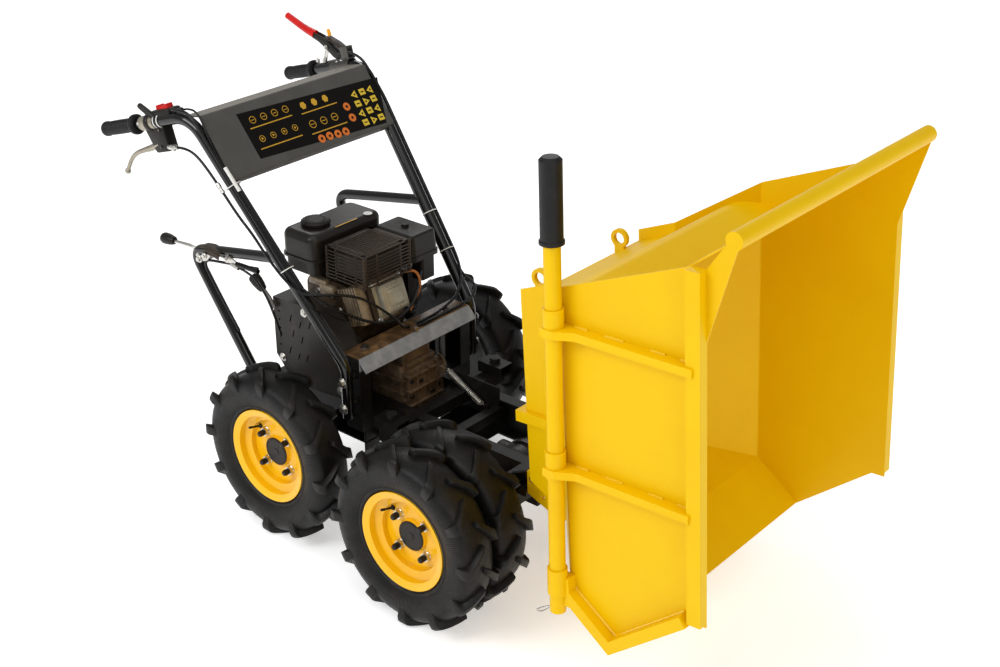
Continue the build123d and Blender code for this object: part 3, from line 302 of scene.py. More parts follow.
GRIP_RUBBER = moulded("grip_rubber", (0.004, 0.004, 0.004), (0.009, 0.009, 0.009), 0.46, 1500, 0.0001)
BUFFER_RUBBER = moulded("buffer_rubber", (0.006, 0.0055, 0.005), (0.012, 0.010, 0.009), 0.55, 500, 0.0003)
CABLE_BLACK = moulded("cable_sleeve", (0.004, 0.004, 0.004), (0.008, 0.008, 0.008), 0.25, 2000, 0.00003)
RED = moulded("red_plastic", (0.62, 0.010, 0.008), (0.52, 0.008, 0.006), 0.28, 1500, 0.00002)
RED_ORANGE = moulded("red_orange_cap", (0.60, 0.06, 0.015), (0.45, 0.04, 0.012), 0.4, 1500, 0.00004)
ORANGE = moulded("orange_button", (0.95, 0.38, 0.01), (0.90, 0.33, 0.01), 0.35, 1500, 0.00003)
WHITE = moulded("white_plastic", (0.75, 0.75, 0.72), (0.66, 0.66, 0.63), 0.45, 1500, 0.00003)
WIRE_BROWN = moulded("ignition_lead", (0.42, 0.14, 0.03), (0.33, 0.10, 0.025), 0.4, 1500, 0.00003)
ZINC = plated("zinc_plate", (0.62, 0.61, 0.58), (0.50, 0.48, 0.44), 0.32)
STEEL = plated("bright_steel", (0.72, 0.72, 0.71), (0.60, 0.60, 0.59), 0.22)
DARK_BOLT = plated("black_bolt", (0.10, 0.095, 0.09), (0.16, 0.14, 0.12), 0.4)
TYRE_REAR = tyre_rubber("tyre_rubber_rear", (REAR_AXLE.x, 0, REAR_AXLE.z))
TYRE_FRONT = tyre_rubber("tyre_rubber_front", (FRONT_AXLE.x, 0, FRONT_AXLE.z))


# the stand's bar in metres: height of its underside, start of its slope from the rear axle, height of its top
BAR_UNDERSIDE, BAR_SLOPE, BAR_TOP = 0.4075, 0.1392, 0.4375


def stand_black():
    """The stand: black posts, the bar's top worn to brown, a dull bluish painted sheen on its sloped face."""
    finish = Finish("stand_black", (0.004, 0.0036, 0.0033), 0.32, 0.0, 0.15, specular=0.4)
    x, y, z = finish.axes(at(0, 0, 0))
    # one noise for the top's wear and for the variation of the painted sheen
    wear_and_sheen = finish.noise(36, 6, 0.65)
    bar = z.above(BAR_UNDERSIDE, 0.0015)
    slope = bar * x.above(BAR_SLOPE, 0.001)
    top = z.above(BAR_TOP, 0.001)
    tone = finish.blend(wear_and_sheen.above(0.5, 0.2) * 0.3, (0.004, 0.0036, 0.0033), (0.03, 0.020, 0.014))
    brown = finish.blend(wear_and_sheen.above(0.44, 0.2), (0.055, 0.031, 0.013), (0.18, 0.095, 0.038))
    # painted sheen: the bar's sloped face is painted a pale bluish tone where it catches light
    sloped_face_sheen = finish.blend(wear_and_sheen.above(0.42, 0.25), (0.19, 0.195, 0.20), (0.28, 0.28, 0.275))
    finish.set("Base Color", finish.blend(slope, finish.blend(top, tone, brown), sloped_face_sheen))
    finish.set("Roughness", 0.34 + (finish.noise(120, 4) - 0.5) * 0.2)
    finish.relief(finish.noise(300, 3), 0.0001)
    return finish.material


STAND_BLACK = stand_black()
DECAL_BLACK = Finish("decal_black", (0.0035, 0.003, 0.0026), 0.42, specular=0.12).material
DECAL_AMBER = Finish("decal_amber", (0.56, 0.31, 0.018), 0.35).material
DECAL_ORANGE = Finish("decal_orange", (0.62, 0.15, 0.015), 0.35).material
DECAL_YELLOW = Finish("decal_yellow", (0.66, 0.47, 0.03), 0.35).material

# finishes of the CAD nodes; the others are skip yellow
NODE_FINISHES = (
    (PLASTIC, "air_cleaner fuel_cap gear_knobs switch_housing thumb_lever"),
    (GUARD_BLACK, "belt_guard muffler muffler_guard"),
    (CABLE_BLACK, "brake_cable drive_cable gear_cable throttle_cable"),
    (STEEL, "brake_lever"),
    (FRAME_BLACK, "chassis_frame engine_deck"),
    (PANEL_BLACK, "control_panel"),
    (GLOSS_BLACK, "drive_lever handle_tube_left handle_tube_right rear_brace_left rear_brace_right"),
    (RED, "drive_lever_sleeve engine_switch"),
    (AXLE_IRON, "drive_shaft front_axle rear_axle"),
    (ENGINE_CAST, "engine_block"),
    (STAND_BLACK, "engine_stand"),
    (TANK_BLACK, "fan_housing fuel_tank"),
    (RIM_YELLOW, "front_left_rims front_right_rims"),
    (TYRE_FRONT, "front_left_tyres front_right_tyres"),
    (ZINC, "gear_levers hinge_pins tension_spring"),
    (GEAR_CASE, "gearbox"),
    (GRIP_RUBBER, "grip_left grip_right tipping_lever_grip"),
    (REAR_RIM_YELLOW, "rear_left_rim rear_right_rim"),
    (TYRE_REAR, "rear_left_tyre rear_right_tyre"),
    (BUFFER_RUBBER, "rubber_buffers"),
    (COVER_CAST, "valve_cover"),
)
finish_of = {node: finish for finish, names in NODE_FINISHES for node in names.split()}
for name, node in frame["nodes"].items():
    finish = finish_of.get(name, SKIP_YELLOW)
    for slot in node.material_slots:
        slot.material = finish
    if not node.material_slots:
        node.data.materials.append(finish)

# slots of the separate pieces, by their finish
SLOT_ROWS = (
    ("tyre", (TYRE_REAR, TYRE_FRONT)), ("grip_rubber", (GRIP_RUBBER,)), ("red_plastic", (RED, ORANGE, RED_ORANGE)),
    ("black_plastic", (PLASTIC, CABLE_BLACK, DECAL_BLACK, WIRE_BROWN)), ("handle_paint", (GLOSS_BLACK,)),
    ("bright_steel", (ZINC, STEEL, DARK_BOLT, LEVER_ALLOY, LEVER_DARK)), ("engine_metal", (ENGINE_CAST, FIN_CAST)),
    ("cover_metal", (COVER_CAST,)), ("gear_case", (GEAR_CASE,)), ("frame_paint", (FRAME_BLACK,)),
    ("skip_paint", (SKIP_YELLOW, WELD_YELLOW)),
)
SLOT_OF = {finish.name: slot for slot, finishes in SLOT_ROWS for finish in finishes}

# ---------------------------------------------------------------- making pieces
FACE_OUT = (bpy.ops.mesh.normals_make_consistent, {"inside": False})
MERGE = (bpy.ops.mesh.remove_doubles, {"threshold": 0.00001})
RIGHT, LEFT, UP, FRONT = (0, -1, 0), (0, 1, 0), (0, 0, 1), (1, 0, 0)
MACHINE = Matrix.Translation(at(0, 0, 0))


def path(*corners):
    """Points in metres of a run given in millimetres."""
    return [at(*corner) for corner in corners]


def linked(name, data):
    """A new object of the scene."""
    piece = bpy.data.objects.new(name, data)
    bpy.context.scene.collection.objects.link(piece)
    return piece


def pick(*pieces):
    """Leaves only these pieces selected, the first of them active."""
    bpy.ops.object.select_all(action="DESELECT")
    for piece in pieces:
        piece.select_set(True)
    bpy.context.view_layer.objects.active = pieces[0]


def settle(piece):
    """Puts the piece's place into its mesh."""
    pick(piece)
    bpy.ops.object.transform_apply(location=True, rotation=True, scale=True)
    return piece


def worked(piece, *steps):
    """Runs each mesh step, given with its settings, on the whole piece."""
    pick(piece)
    bpy.ops.object.mode_set(mode="EDIT")
    for step, settings in steps:
        bpy.ops.mesh.select_all(action="SELECT")
        step(**settings)
    bpy.ops.object.mode_set(mode="OBJECT")
    return piece


def softened(piece, width, limit=30.0):
    """Rounds the edges that turn by more than the limit, in degrees."""
    rounding = piece.modifiers.new("rounding", "BEVEL")
    rounding.width = width
    rounding.segments = 2
    rounding.limit_method = "ANGLE"
    rounding.angle_limit = math.radians(limit)
    bpy.ops.object.modifier_apply(modifier="rounding")
    return piece


def fresh(add, **settings):
    """A new primitive, selected on its own."""
    bpy.ops.object.select_all(action="DESELECT")
    add(**settings)
    return bpy.context.object


def slab(low, high, round_off=0.0):
    """A block between two corners in millimetres about the origin, its edges rounded."""
    low, high = Vector(low) / 1000, Vector(high) / 1000
    piece = fresh(bpy.ops.mesh.primitive_cube_add, size=1, location=(low + high) / 2)
    piece.scale = high - low
    settle(piece)
    if round_off:
        worked(piece, (bpy.ops.mesh.bevel, {"offset": round_off / 1000, "segments": 2, "affect": "EDGES",
                                            "clamp_overlap": True}))
    return piece


def turned(profile, steps=48, closed=False):
    """A turned piece: (radius, height) pairs in millimetres, spun about Z."""
    mesh = bpy.data.meshes.new("turned")
    points = [(r / 1000, 0, h / 1000) for r, h in profile]
    runs = [(k, k + 1) for k in range(len(points) - 1)]
    if closed:
        runs.append((len(points) - 1, 0))
    mesh.from_pydata(points, runs, [])
    spin = {"steps": steps, "angle": 2 * math.pi, "center": (0, 0, 0), "axis": (0, 0, 1)}
    return worked(linked("turned", mesh), (bpy.ops.mesh.spin, spin), MERGE, FACE_OUT)


def ring(inner, outer, low, high, steps=40):
    """A plain turned ring."""
    return turned([(inner, low), (outer, low), (outer, high), (inner, high)], steps, True)


def prism(sides, radius, low, high, round_off=0.0):
    """An upright prism or round about Z, sizes in millimetres, its rims broken."""
    piece = settle(fresh(bpy.ops.mesh.primitive_cylinder_add, vertices=sides, radius=radius / 1000,
                         depth=(high - low) / 1000, location=(0, 0, (high + low) / 2000)))
    if round_off:
        bpy.ops.object.mode_set(mode="EDIT")
        bpy.ops.mesh.select_all(action="DESELECT")
        bpy.ops.object.mode_set(mode="OBJECT")
        for face in piece.data.polygons:
            face.select = abs(face.normal.z) > 0.9
        bpy.ops.object.mode_set(mode="EDIT")
        bpy.ops.mesh.region_to_loop()
        bpy.ops.mesh.bevel(offset=round_off / 1000, segments=2, affect="EDGES")
        bpy.ops.object.mode_set(mode="OBJECT")
    return piece


def bar(points, radius, detail=3, radii=None, steps=6, ripple=0.0):
    """A bent bar, wire or weld bead through points in metres; radii are shares of the radius along it."""
    curve = bpy.data.curves.new("bar", "CURVE")
    curve.dimensions = "3D"
    curve.bevel_depth = radius / 1000
    curve.bevel_resolution = detail
    curve.use_fill_caps = True
    spline = curve.splines.new("POLY" if ripple else "NURBS")
    spline.points.add(len(points) - 1)
    for k, (spot, point) in enumerate(zip(spline.points, points)):
        spot.co = tuple(point) + (1.0,)
        spot.radius = radii[k] if radii else 1.0 + ripple * (k % 2)
    if not ripple:
        spline.order_u = 3
        spline.use_endpoint_u = True
        spline.resolution_u = steps
    pick(linked("bar", curve))
    bpy.ops.object.convert(target="MESH")
    return bpy.context.object


def bent(corners, reach):
    """Points of a path through corners in metres, each corner rounded over a reach."""
    points = [corners[0]]
    for before, corner, after in zip(corners, corners[1:], corners[2:]):
        start = corner + (before - corner).normalized() * reach
        end = corner + (after - corner).normalized() * reach
        for step in range(7):
            share = step / 6
            points.append(start.lerp(corner, share).lerp(corner.lerp(end, share), share))
    return points + [corners[-1]]


def strap(points, width, thick):
    """A flat bar through points in metres, its width square to the run, its thickness across the machine."""
    across = Vector(LEFT)
    upper, lower = [], []
    for k, point in enumerate(points):
        run = (points[min(k + 1, len(points) - 1)] - points[max(k - 1, 0)]).normalized()
        up = run.cross(across).normalized()
        reach = width[k] if isinstance(width, tuple) else width
        upper.append(point + up * reach / 2000)
        lower.append(point - up * reach / 2000)
    outline = upper + lower[::-1]
    count = len(outline)
    shift = across * thick / 2000
    faces = []
    for k in range(len(points) - 1):
        a, b, c, d = k, k + 1, count - 2 - k, count - 1 - k
        faces += [(a, b, c, d), (d + count, c + count, b + count, a + count)]
    faces += [(k, (k + 1) % count, (k + 1) % count + count, k + count)[::-1] for k in range(count)]
    mesh = bpy.data.meshes.new("strap")
    mesh.from_pydata([tuple(v + way) for way in (-shift, shift) for v in outline], [], faces)
    return softened(worked(linked("strap", mesh), FACE_OUT), min(thick, 3) * 0.00025)


def joined(pieces):
    if len(pieces) > 1:
        pick(*pieces)
        bpy.ops.object.join()
    return pieces[0]


def copied(template, places):
    """Copies of a template, one for each matrix, joined as one mesh."""
    made = []
    for place in places:
        copy = linked(template.name, template.data.copy())
        copy.data.transform(place)
        if place.determinant() < 0:
            copy.data.flip_normals()
        made.append(copy)
    bpy.data.objects.remove(template)
    return joined(made)


def placed(piece, place):
    return copied(piece, [place])


def facing(spot, direction, spin=0.0):
    """A place whose Z runs along the direction."""
    turn = Vector(direction).to_track_quat("Z", "Y").to_matrix().to_4x4()
    return Matrix.Translation(spot) @ turn @ Matrix.Rotation(spin, 4, "Z")


def along_axes(spot, *axes):
    """A place at a spot with these three axes."""
    place = Matrix(axes).transposed().to_4x4()
    place.translation = spot
    return place


def done(piece, name, finish, angle=35, replaced=(), body="chassis", slot=None):
    slot = slot or SLOT_OF.get(finish.name)
    piece.name = name
    piece.data.name = name
    piece.data.materials.clear()
    piece.data.materials.append(finish)
    pick(piece)
    bpy.ops.object.shade_smooth_by_angle(angle=math.radians(angle))
    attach(piece, body)
    if replaced:
        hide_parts(*replaced)
    return piece


NUT_SIZE = 11.0


def wheel_nut():
    """Hexagon nut with a turned flange."""
    wide, narrow = NUT_SIZE * 1.02, NUT_SIZE * 0.92
    flange = turned([(0, 0), (wide, 0), (wide, 1.2), (narrow, 2.2), (0, 2.2)], 32)
    return joined([prism(6, NUT_SIZE, 1.5, 10.0, 0.9), flange])


def bolt(size=8.0, high=6.0, washer=1.55):
    """Hexagon head on a washer."""
    head = prism(6, size, 1.6, 1.6 + high, 0.8)
    disc = turned([(0, 0), (size * washer, 0), (size * washer, 1.2), (size * washer - 0.6, 1.8), (0, 1.8)], 32)
    return joined([head, disc])


def toward(way, *points):
    """Bolt places facing one way, at points in millimetres."""
    return [(at(*point), way) for point in points]


def bolts(name, spots, size, high, washer, finish=ZINC):
    """Bolts at places given as (point, direction)."""
    places = [facing(point, direction, 0.4 * k) for k, (point, direction) in enumerate(spots)]
    done(copied(bolt(size, high, washer), places), name, finish, 30)


def fitting(name, spot, way, finish, profile, angle=50, steps=24, slot=None):
    """A turned piece set at a spot in millimetres, its axis along the way."""
    done(placed(turned(profile, steps), facing(at(*spot), way)), name, finish, angle, slot=slot)


def cable(name, points, radius, finish=CABLE_BLACK, replaced=(), detail=3, body="chassis"):
    """A cable, wire or bent rod through points in metres."""
    done(bar(points, radius, detail), name, finish, 60, replaced, body)


# ---------------------------------------------------------------- floor, light and camera
floor = fresh(bpy.ops.mesh.primitive_plane_add, size=60, location=(0, 0, 0))
floor.name = "studio_floor"
floor_finish = Finish("studio_floor", (0.90, 0.90, 0.90), 0.7, specular=0.2)
floor_finish.set("Emission Color", (1.0, 1.0, 1.0, 1.0))
floor_finish.set("Emission Strength", 0.46)
floor.data.materials.append(floor_finish.material)

world = bpy.data.worlds.new("studio")
bpy.context.scene.world = world
world.use_nodes = True
world.node_tree.nodes["Background"].inputs[0].default_value = (1.0, 1.0, 1.0, 1.0)
world.node_tree.nodes["Background"].inputs[1].default_value = 0.35


def soft_light(name, place, aim, width, height, power):
    data = bpy.data.lights.new(name, "AREA")
    data.shape = "RECTANGLE"
    data.size = width
    data.size_y = height
    data.energy = power
    lamp = linked(name, data)
    lamp.location = place
    lamp.rotation_euler = (Vector(aim) - Vector(place)).to_track_quat("-Z", "Y").to_euler()


soft_light("key_light", (-1.2, -3.4, 3.0), (0.1, 0, 0.5), 2.4, 1.4, 72)
soft_light("fill_light", (4.2, -1.2, 2.4), (0.3, 0, 0.5), 2.2, 2.2, 34)
soft_light("back_light", (-2.6, 2.8, 3.0), (0, 0, 0.6), 2.4, 1.2, 32)
sky_data = bpy.data.lights.new("overhead_light", "SUN")
sky_data.energy = 0.98
sky_data.angle = math.radians(70)
sky = linked("overhead_light", sky_data)
sky.rotation_euler = (math.radians(18), math.radians(12), 0)
bpy.context.scene.view_settings.view_transform = "Standard"

CAMERA_SPOT = (2411.6, -2383.9, 2059.0)
CAMERA_TURN, CAMERA_DROP, CAMERA_ROLL = 40.15, 26.31, -0.18
camera_data = bpy.data.cameras.new("camera")
camera_data.lens = 55.84
camera_data.sensor_width = 36
camera = linked("camera", camera_data)
camera.matrix_world = (Matrix.Translation(at(*CAMERA_SPOT)) @ Matrix.Rotation(math.radians(CAMERA_TURN), 4, "Z")
                       @ Matrix.Rotation(math.radians(90 - CAMERA_DROP), 4, "X")
                       @ Matrix.Rotation(math.radians(CAMERA_ROLL), 4, "Z"))
bpy.context.scene.camera = camera

# ---------------------------------------------------------------- tyres
# (radius, half width) down one side of the carcass, to the middle of the tread
CARCASS = [(100, 28), (103, 30), (112, 31.5), (118, 34), (121, 38), (124, 38.5), (127, 37.5), (132, 41.5), (142, 46),
           (156, 48.6), (170, 48), (180, 45), (187, 41), (192, 33), (196, 18), (197.5, 0)]
BEAD_LINE = [(121.5, 38.2), (123, 39.6), (124.5, 38.2)]
LUG_COUNT = 12
LUG_ALONG = 14
LUG_LEAD = 46
LUG_FOOT = 3.0
TREAD_RADIUS = 200.0
# share along the lug, foot's y and radius, top's y and radius, half width
LUG_LINE = [
    (0.00, -3, 190, -1.5, 205, 4.5), (0.06, -3, 190, 0, 210.6, 6.0), (0.30, 14, 190, 15, 210.4, 7.5),
    (0.55, 28, 188, 30, 208.8, 9.0), (0.75, 36, 184, 44, 205.6, 11.0), (0.84, 38, 180, 50.5, 200, 12.0),
    (0.92, 40, 174, 52.9, 188, 12.2), (0.98, 42, 168, 52.6, 174, 11.0), (1.00, 43, 162, 48.5, 163, 9.5),
]


def lug_values(share):
    """The lug's measures at a share of its length."""
    for low, high in zip(LUG_LINE, LUG_LINE[1:]):
        if share <= high[0]:
            break
    t = (share - low[0]) / (high[0] - low[0])
    return [p + (q - p) * t for p, q in zip(low[1:], high[1:])]


def one_lug():
    """A chevron lug: a grid is pushed up to a bar, then wrapped on the carcass from the middle to the shoulder."""
    piece = fresh(bpy.ops.mesh.primitive_grid_add, x_subdivisions=LUG_ALONG, y_subdivisions=2, size=2)
    worked(piece, (bpy.ops.mesh.extrude_region_move, {"TRANSFORM_OT_translate": {"value": (0, 0, 1)}}))
    for vertex in piece.data.vertices:
        share = (vertex.co.x + 1) / 2
        top = vertex.co.z > 0.5
        foot_y, foot_radius, top_y, top_radius, half = lug_values(share)
        y, radius, half = (top_y, top_radius, half) if top else (foot_y, foot_radius, half + LUG_FOOT)
        lead = LUG_LEAD * min(1.0, max(0.0, (share - 0.02) / 0.78)) ** 1.05
        around = (lead + vertex.co.y * half) / TREAD_RADIUS
        vertex.co = Vector((radius * math.sin(around), y, radius * math.cos(around))) / 1000
    return softened(worked(piece, FACE_OUT), 0.0016, 40)


def one_tyre():
    """Carcass about Y with a bead line and its chevron lugs."""
    upright = Matrix.Rotation(math.radians(-90), 4, "X")
    carcass = turned(CARCASS + [(r, -y) for r, y in reversed(CARCASS[:-1])], 96)
    carcass.data.transform(upright)
    places = []
    for step in range(LUG_COUNT):
        turn = Matrix.Rotation(2 * math.pi * step / LUG_COUNT, 4, "Y")
        other = Matrix.Rotation(2 * math.pi * (step + 0.5) / LUG_COUNT, 4, "Y")
        places += [turn, other @ Matrix.Scale(-1, 4, (0, 1, 0))]
    lugs = copied(one_lug(), places)
    line = turned(BEAD_LINE, 96)
    line.data.transform(upright)
    return joined([carcass, lugs, line])


tyre = one_tyre()
AXLES = {"rear": (REAR_AXLE, TYRE_REAR, ""), "front": (FRONT_AXLE, TYRE_FRONT, "s")}
TYRES = (
    # wheel, which of its tyres, middle y, turn in degrees
    ("rear_right", "", -REAR_WHEEL_Y, 4), ("rear_left", "", REAR_WHEEL_Y, 11),
    ("front_right", "_outer", -385, 0), ("front_right", "_inner", -275, 9),
    ("front_left", "_outer", 385, 7), ("front_left", "_inner", 275, 15),
)
for wheel, which, y, turn in TYRES:
    axle, finish, plural = AXLES[wheel.split("_")[0]]
    copy = linked(wheel, tyre.data.copy())
    copy.data.transform(Matrix.Translation((axle.x, y / 1000, axle.z))
                        @ Matrix.Rotation(math.radians(turn), 4, "Y"))
    done(copy, wheel + which + "_tread", finish, 38, (wheel + "_tyre" + plural,), wheel + "_wheel" + plural)
bpy.data.objects.remove(tyre)

# ---------------------------------------------------------------- wheel hardware
RIM_FACES = (
    # wheel, rim centre y, side
    ("rear_right", REAR_WHEEL_Y, -1), ("rear_left", REAR_WHEEL_Y, 1), ("front_right", 385, -1), ("front_left", 385, 1),
)
NUT_CIRCLE = 0.054
STUD_CAP = [(6.3, 9), (7.2, 10), (7.2, 21), (6, 24.2), (3, 25.4), (0, 25.6)]
HUB_CAP = [(34.6, -7.6), (34.8, 0.4), (33, 1.6), (30, 2.0), (29, 1.2), (9, 1.2), (8, 2.6), (0, 2.8)]
VALVE = [(0, 30), (2.2, 29.6), (3.0, 28), (3.0, 20), (2.4, 19), (2.6, 4), (5.5, 1), (6.0, -3)]
for name, y, side in RIM_FACES:
    axle, _, plural = AXLES[name.split("_")[0]]
    body = name + "_wheel" + plural
    out = Vector((0, side, 0))
    nuts, tips = [], []
    for step in range(4):
        angle = math.radians(45 + 90 * step)
        spot = Vector((axle.x + NUT_CIRCLE * math.sin(angle), side * (y - 1) / 1000,
                       axle.z + NUT_CIRCLE * math.cos(angle)))
        nuts.append(facing(spot, out, angle))
        tips.append(facing(spot, out))
    done(copied(wheel_nut(), nuts), name + "_wheel_nuts", ZINC, 30, body=body)
    done(copied(turned(STUD_CAP, 24), tips), name + "_stud_caps", PLASTIC, body=body)
    middle = Matrix.Translation((axle.x, side * (y + 7) / 1000, axle.z))
    done(placed(turned(HUB_CAP), middle @ facing((0, 0, 0), out)), name + "_hub_cap", PLASTIC, body=body)
    spot = Vector((axle.x - 0.058, side * (y + 1) / 1000, axle.z + 0.045))
    done(placed(turned(VALVE, 20), facing(spot, (-0.25, side, 0.15))), name + "_valve", PLASTIC, body=body)

# ---------------------------------------------------------------- handles and their controls
HANDLE_TIP = (-568.0, 294.0, 865.0)
HANDLE_BEND = (-282.0, 272.0, 951.0)
HANDLE_FOOT = (124.0, 215.0, 424.0)


def handle_place(side, along, up=0.0, out=0.0, turn=0.0):
    """A place on a handle's straight end: Z runs forwards along the tube, X upwards, Y to the right."""
    tip, bend = (Vector((x, side * y, z)) for x, y, z in (HANDLE_TIP, HANDLE_BEND))
    ahead = (bend - tip).normalized()
    over = (Vector(UP) - ahead * ahead.z).normalized()
    across = ahead.cross(over)
    place = along_axes(at(*(tip + ahead * along + over * up + across * out)), over, across, ahead)
    return place @ Matrix.Rotation(math.radians(turn), 4, "Z")


def tube_place(side, x, up=0.0, out=0.0):
    """A place on a handle's long straight run, Z along the tube, X square off its upper face."""
    a, b = Vector(HANDLE_BEND), Vector(HANDLE_FOOT)
    a.y, b.y = side * a.y, side * b.y
    run = (b - a).normalized()
    point = a + run * ((x - a.x) / run.x)
    over = Vector((-run.z, 0, run.x)).normalized()
    across = run.cross(over)
    return along_axes(at(*(point + over * up - across * out)), over, across, run)


RING_COUNT, RING_STEP, RING_SWELL = 17, 5, 16.1


def grip_sleeve():
    """Rubber grip: knob end, fine rings on a slight barrel, and the thumb flange."""
    profile = [(0, -6), (13, -6), (16.4, -4.6), (17.8, -1.5), (18.0, 5), (16.6, 9), (15.8, 11)]
    for step in range(RING_COUNT):
        low = 13 + step * RING_STEP
        swell = RING_SWELL + 0.7 * math.sin(math.pi * step / (RING_COUNT - 1))
        profile += [(swell - 0.5, low), (swell + 0.35, low + 1.0), (swell + 0.35, low + 3.0), (swell - 0.5, low + 4.0)]
    profile += [(17.2, 99), (20.4, 101.5), (23.6, 104), (24.0, 107), (24.0, 112), (22.8, 114), (18.6, 115), (18.2, 118),
                (14.1, 118)]
    return turned(profile, 40)


for side, name in ((-1, "right"), (1, "left")):
    done(placed(grip_sleeve(), handle_place(side, 0)), name + "_hand_grip", GRIP_RUBBER, 50, ("grip_" + name,))


def tapered(piece, low, high, shrink, shift):
    """Narrows a block towards its low end along X: how much of its length stays, and how far it moves."""
    for vertex in piece.data.vertices:
        share = min(1.0, max(0.0, (high - vertex.co.x * 1000) / (high - low)))
        vertex.co.z = vertex.co.z * (1 - share * (1 - shrink)) + share * shift / 1000
    return piece


# switch body, its screws, ties and rocker
HOUSING = 205.0
DROP_BACK = Matrix.Translation((0, 0, -0.034))
upper = slab((-9, -34, -34), (25, 8, 36), 6)
drop = tapered(slab((-73, -26, -36), (-4, 6, 32), 5), -73, -4, 0.68, 9)
shoulder = slab((-16, -30, -26), (-2, 9, 28), 3)
nose = slab((-2, -28, 34), (20, 2, 52), 5)
lower = placed(joined([drop, shoulder]), DROP_BACK)
done(placed(joined([upper, lower, nose]), handle_place(-1, HOUSING)), "switch_body", PLASTIC, 40, ("switch_housing",))
spots = [handle_place(-1, HOUSING + back, up, 7.6).translation for up, back in ((-20, -16), (-60, -26))]
done(copied(prism(16, 3.4, 0, 1.6, 0.5), [facing(spot, RIGHT) for spot in spots]), "switch_body_screws", DARK_BOLT, 30)
rings = turned([(15.0, -1.3), (16.4, -1.3), (16.7, 0), (16.4, 1.3), (15.0, 1.3)], 40, True)
done(copied(rings, [handle_place(-1, along) for along in (186, 199)]), "switch_ties", WHITE, 50)
rocker = joined([slab((0, -10, -20), (13, 10, 20), 2.5), slab((11, -10, -19), (16, 10, -9), 1.5),
                 slab((11, -10, 9), (16, 10, 19), 1.5)])
done(placed(rocker, handle_place(-1, HOUSING + 2, 19, -14)), "engine_stop_rocker", RED, 40, ("engine_switch",))
screw_seat = handle_place(-1, 136, turn=80) @ facing((0.0138, 0, 0), FRONT)
done(placed(bolt(4.2, 3.4), screw_seat), "grip_clamp_screw", STEEL, 30)

collar = turned([(14.3, -7), (19, -7), (20.5, -5), (20.5, 5), (19, 7), (14.3, 7)], 40, True)
paddle = turned([(0, -6), (7.4, -6), (8.2, 0), (7.8, 14), (7.2, 34), (6.8, 44), (5.2, 47.5), (0, 48.6)], 24)
paddle_seat = facing(at(-398, -286, 928), (-42, -6, 22))
done(joined([placed(collar, handle_place(-1, HOUSING - 43)), placed(paddle, paddle_seat)]), "throttle_paddle", PLASTIC,
     50, ("thumb_lever",))

# brake lever and its cable
clamp = turned([(14.2, -24), (16.6, -24), (17.2, -22), (17.2, 22), (16.6, 24), (14.2, 24)], 40, True)
done(placed(clamp, handle_place(-1, 156)), "brake_lever_clamp", LEVER_ALLOY, 40)
blade = path((-392, -278, 862), (-418, -281, 848), (-444, -284, 838), (-478, -286, 822), (-500, -287, 800),
             (-512, -288, 776))
done(bar(blade, 1, 3, (9, 8.4, 6.4, 5.4, 5.2, 5.0), 8), "brake_hand_lever", LEVER_ALLOY, 50, ("brake_lever",))
ball = turned([(0, -9), (3.4, -8.6), (6.6, -6.6), (8.6, -3), (9, 0), (8.6, 3), (6.6, 6.6), (3.4, 8.6), (0, 9)], 24)
ball.data.transform(Matrix.Scale(0.8, 4))
done(placed(ball, Matrix.Translation(at(-515, -288, 770))), "brake_lever_ball", LEVER_ALLOY, 60, slot="black_plastic")
fitting("brake_cable_barrel", (-354, -281, 864), (60, 0, 8), ZINC,
        [(0, -3), (6, -3), (6.4, 0), (6.4, 8), (5.2, 9), (5.2, 12), (7.6, 13), (7.6, 19), (6, 20), (4, 22), (3.6, 30),
         (0, 30)], 30)
cable("brake_outer_cable", path(
    (-326, -281, 869), (-292, -281, 874), (-254, -281, 862), (-203, -281, 820), (-136, -279, 750), (-93, -277, 716),
    (-58, -268, 664), (-16, -254, 610), (24, -240, 584), (50, -206, 582), (84, -130, 562), (104, -80, 520),
    (120, -42, 480), (125, -24, 452), (125, -2, 449)), 3.2, replaced=("brake_cable",))
fitting("brake_cable_joint", (-196, -281, 813), (46, 0, -46), ZINC,
        [(0, 0), (4.6, 0), (5.4, 2), (5.4, 12), (4.2, 13), (4.2, 20), (5.4, 21), (5.4, 27), (0, 29)], 40, steps=20)

# the left lever
sleeve = path((-556, 287, 1022), (-530, 286, 1013), (-500, 285.5, 1002), (-474, 285, 995), (-452, 285, 990))
done(bar(sleeve, 1, 4, (8.5, 8.8, 9.2, 10.2, 11.4), 8), "drive_hand_sleeve", RED, 50, ("drive_lever_sleeve",))
arm = path((-456, 285, 991), (-430, 285, 984), (-404, 284, 974), (-376, 283, 957), (-344, 282, 944))
CHEEK_WIDTHS, CHEEK_SHIFT, WEB_SHIFT = (14, 17, 21, 22, 15), 0.0075, Vector((0.004, 0, 0.008))
cheeks = [strap([p + Vector((0, shift, 0)) for p in arm], CHEEK_WIDTHS, 3) for shift in (-CHEEK_SHIFT, CHEEK_SHIFT)]
web = strap([p + WEB_SHIFT for p in arm[2:]], 4, 15)
done(joined(cheeks + [web]), "drive_lever_arm", PLASTIC, 30, ("drive_lever",))
fitting("drive_lock_button", (-400, 285, 996), (-0.35, 0, 0.94), ORANGE,
        [(0, 0), (4.6, 0), (4.8, 3), (4.4, 14), (3.4, 17), (0, 18)])
foot = slab((13.6, -11, -44), (17.4, 11, 46), 1.2)
saddle = ring(14.2, 16.4, -34, 42)
fork = joined([slab((16, y, 16), (46, y + 2.6, 44), 1) for y in (-10, 7.4)])
done(placed(joined([foot, saddle, fork]), handle_place(1, 226)), "drive_lever_bracket", LEVER_DARK, 30)
link = strap(path((-404, 284, 968), (-414, 284, 950), (-420, 284, 926)), (10, 12, 10), 4)
done(link, "drive_lever_link", ZINC, 30)
cover = strap(path((-410, 285, 992), (-372, 285, 982), (-330, 285, 962)), 5, 22)
done(cover, "drive_lever_cover", GUARD_RUST, 30, slot="black_plastic")
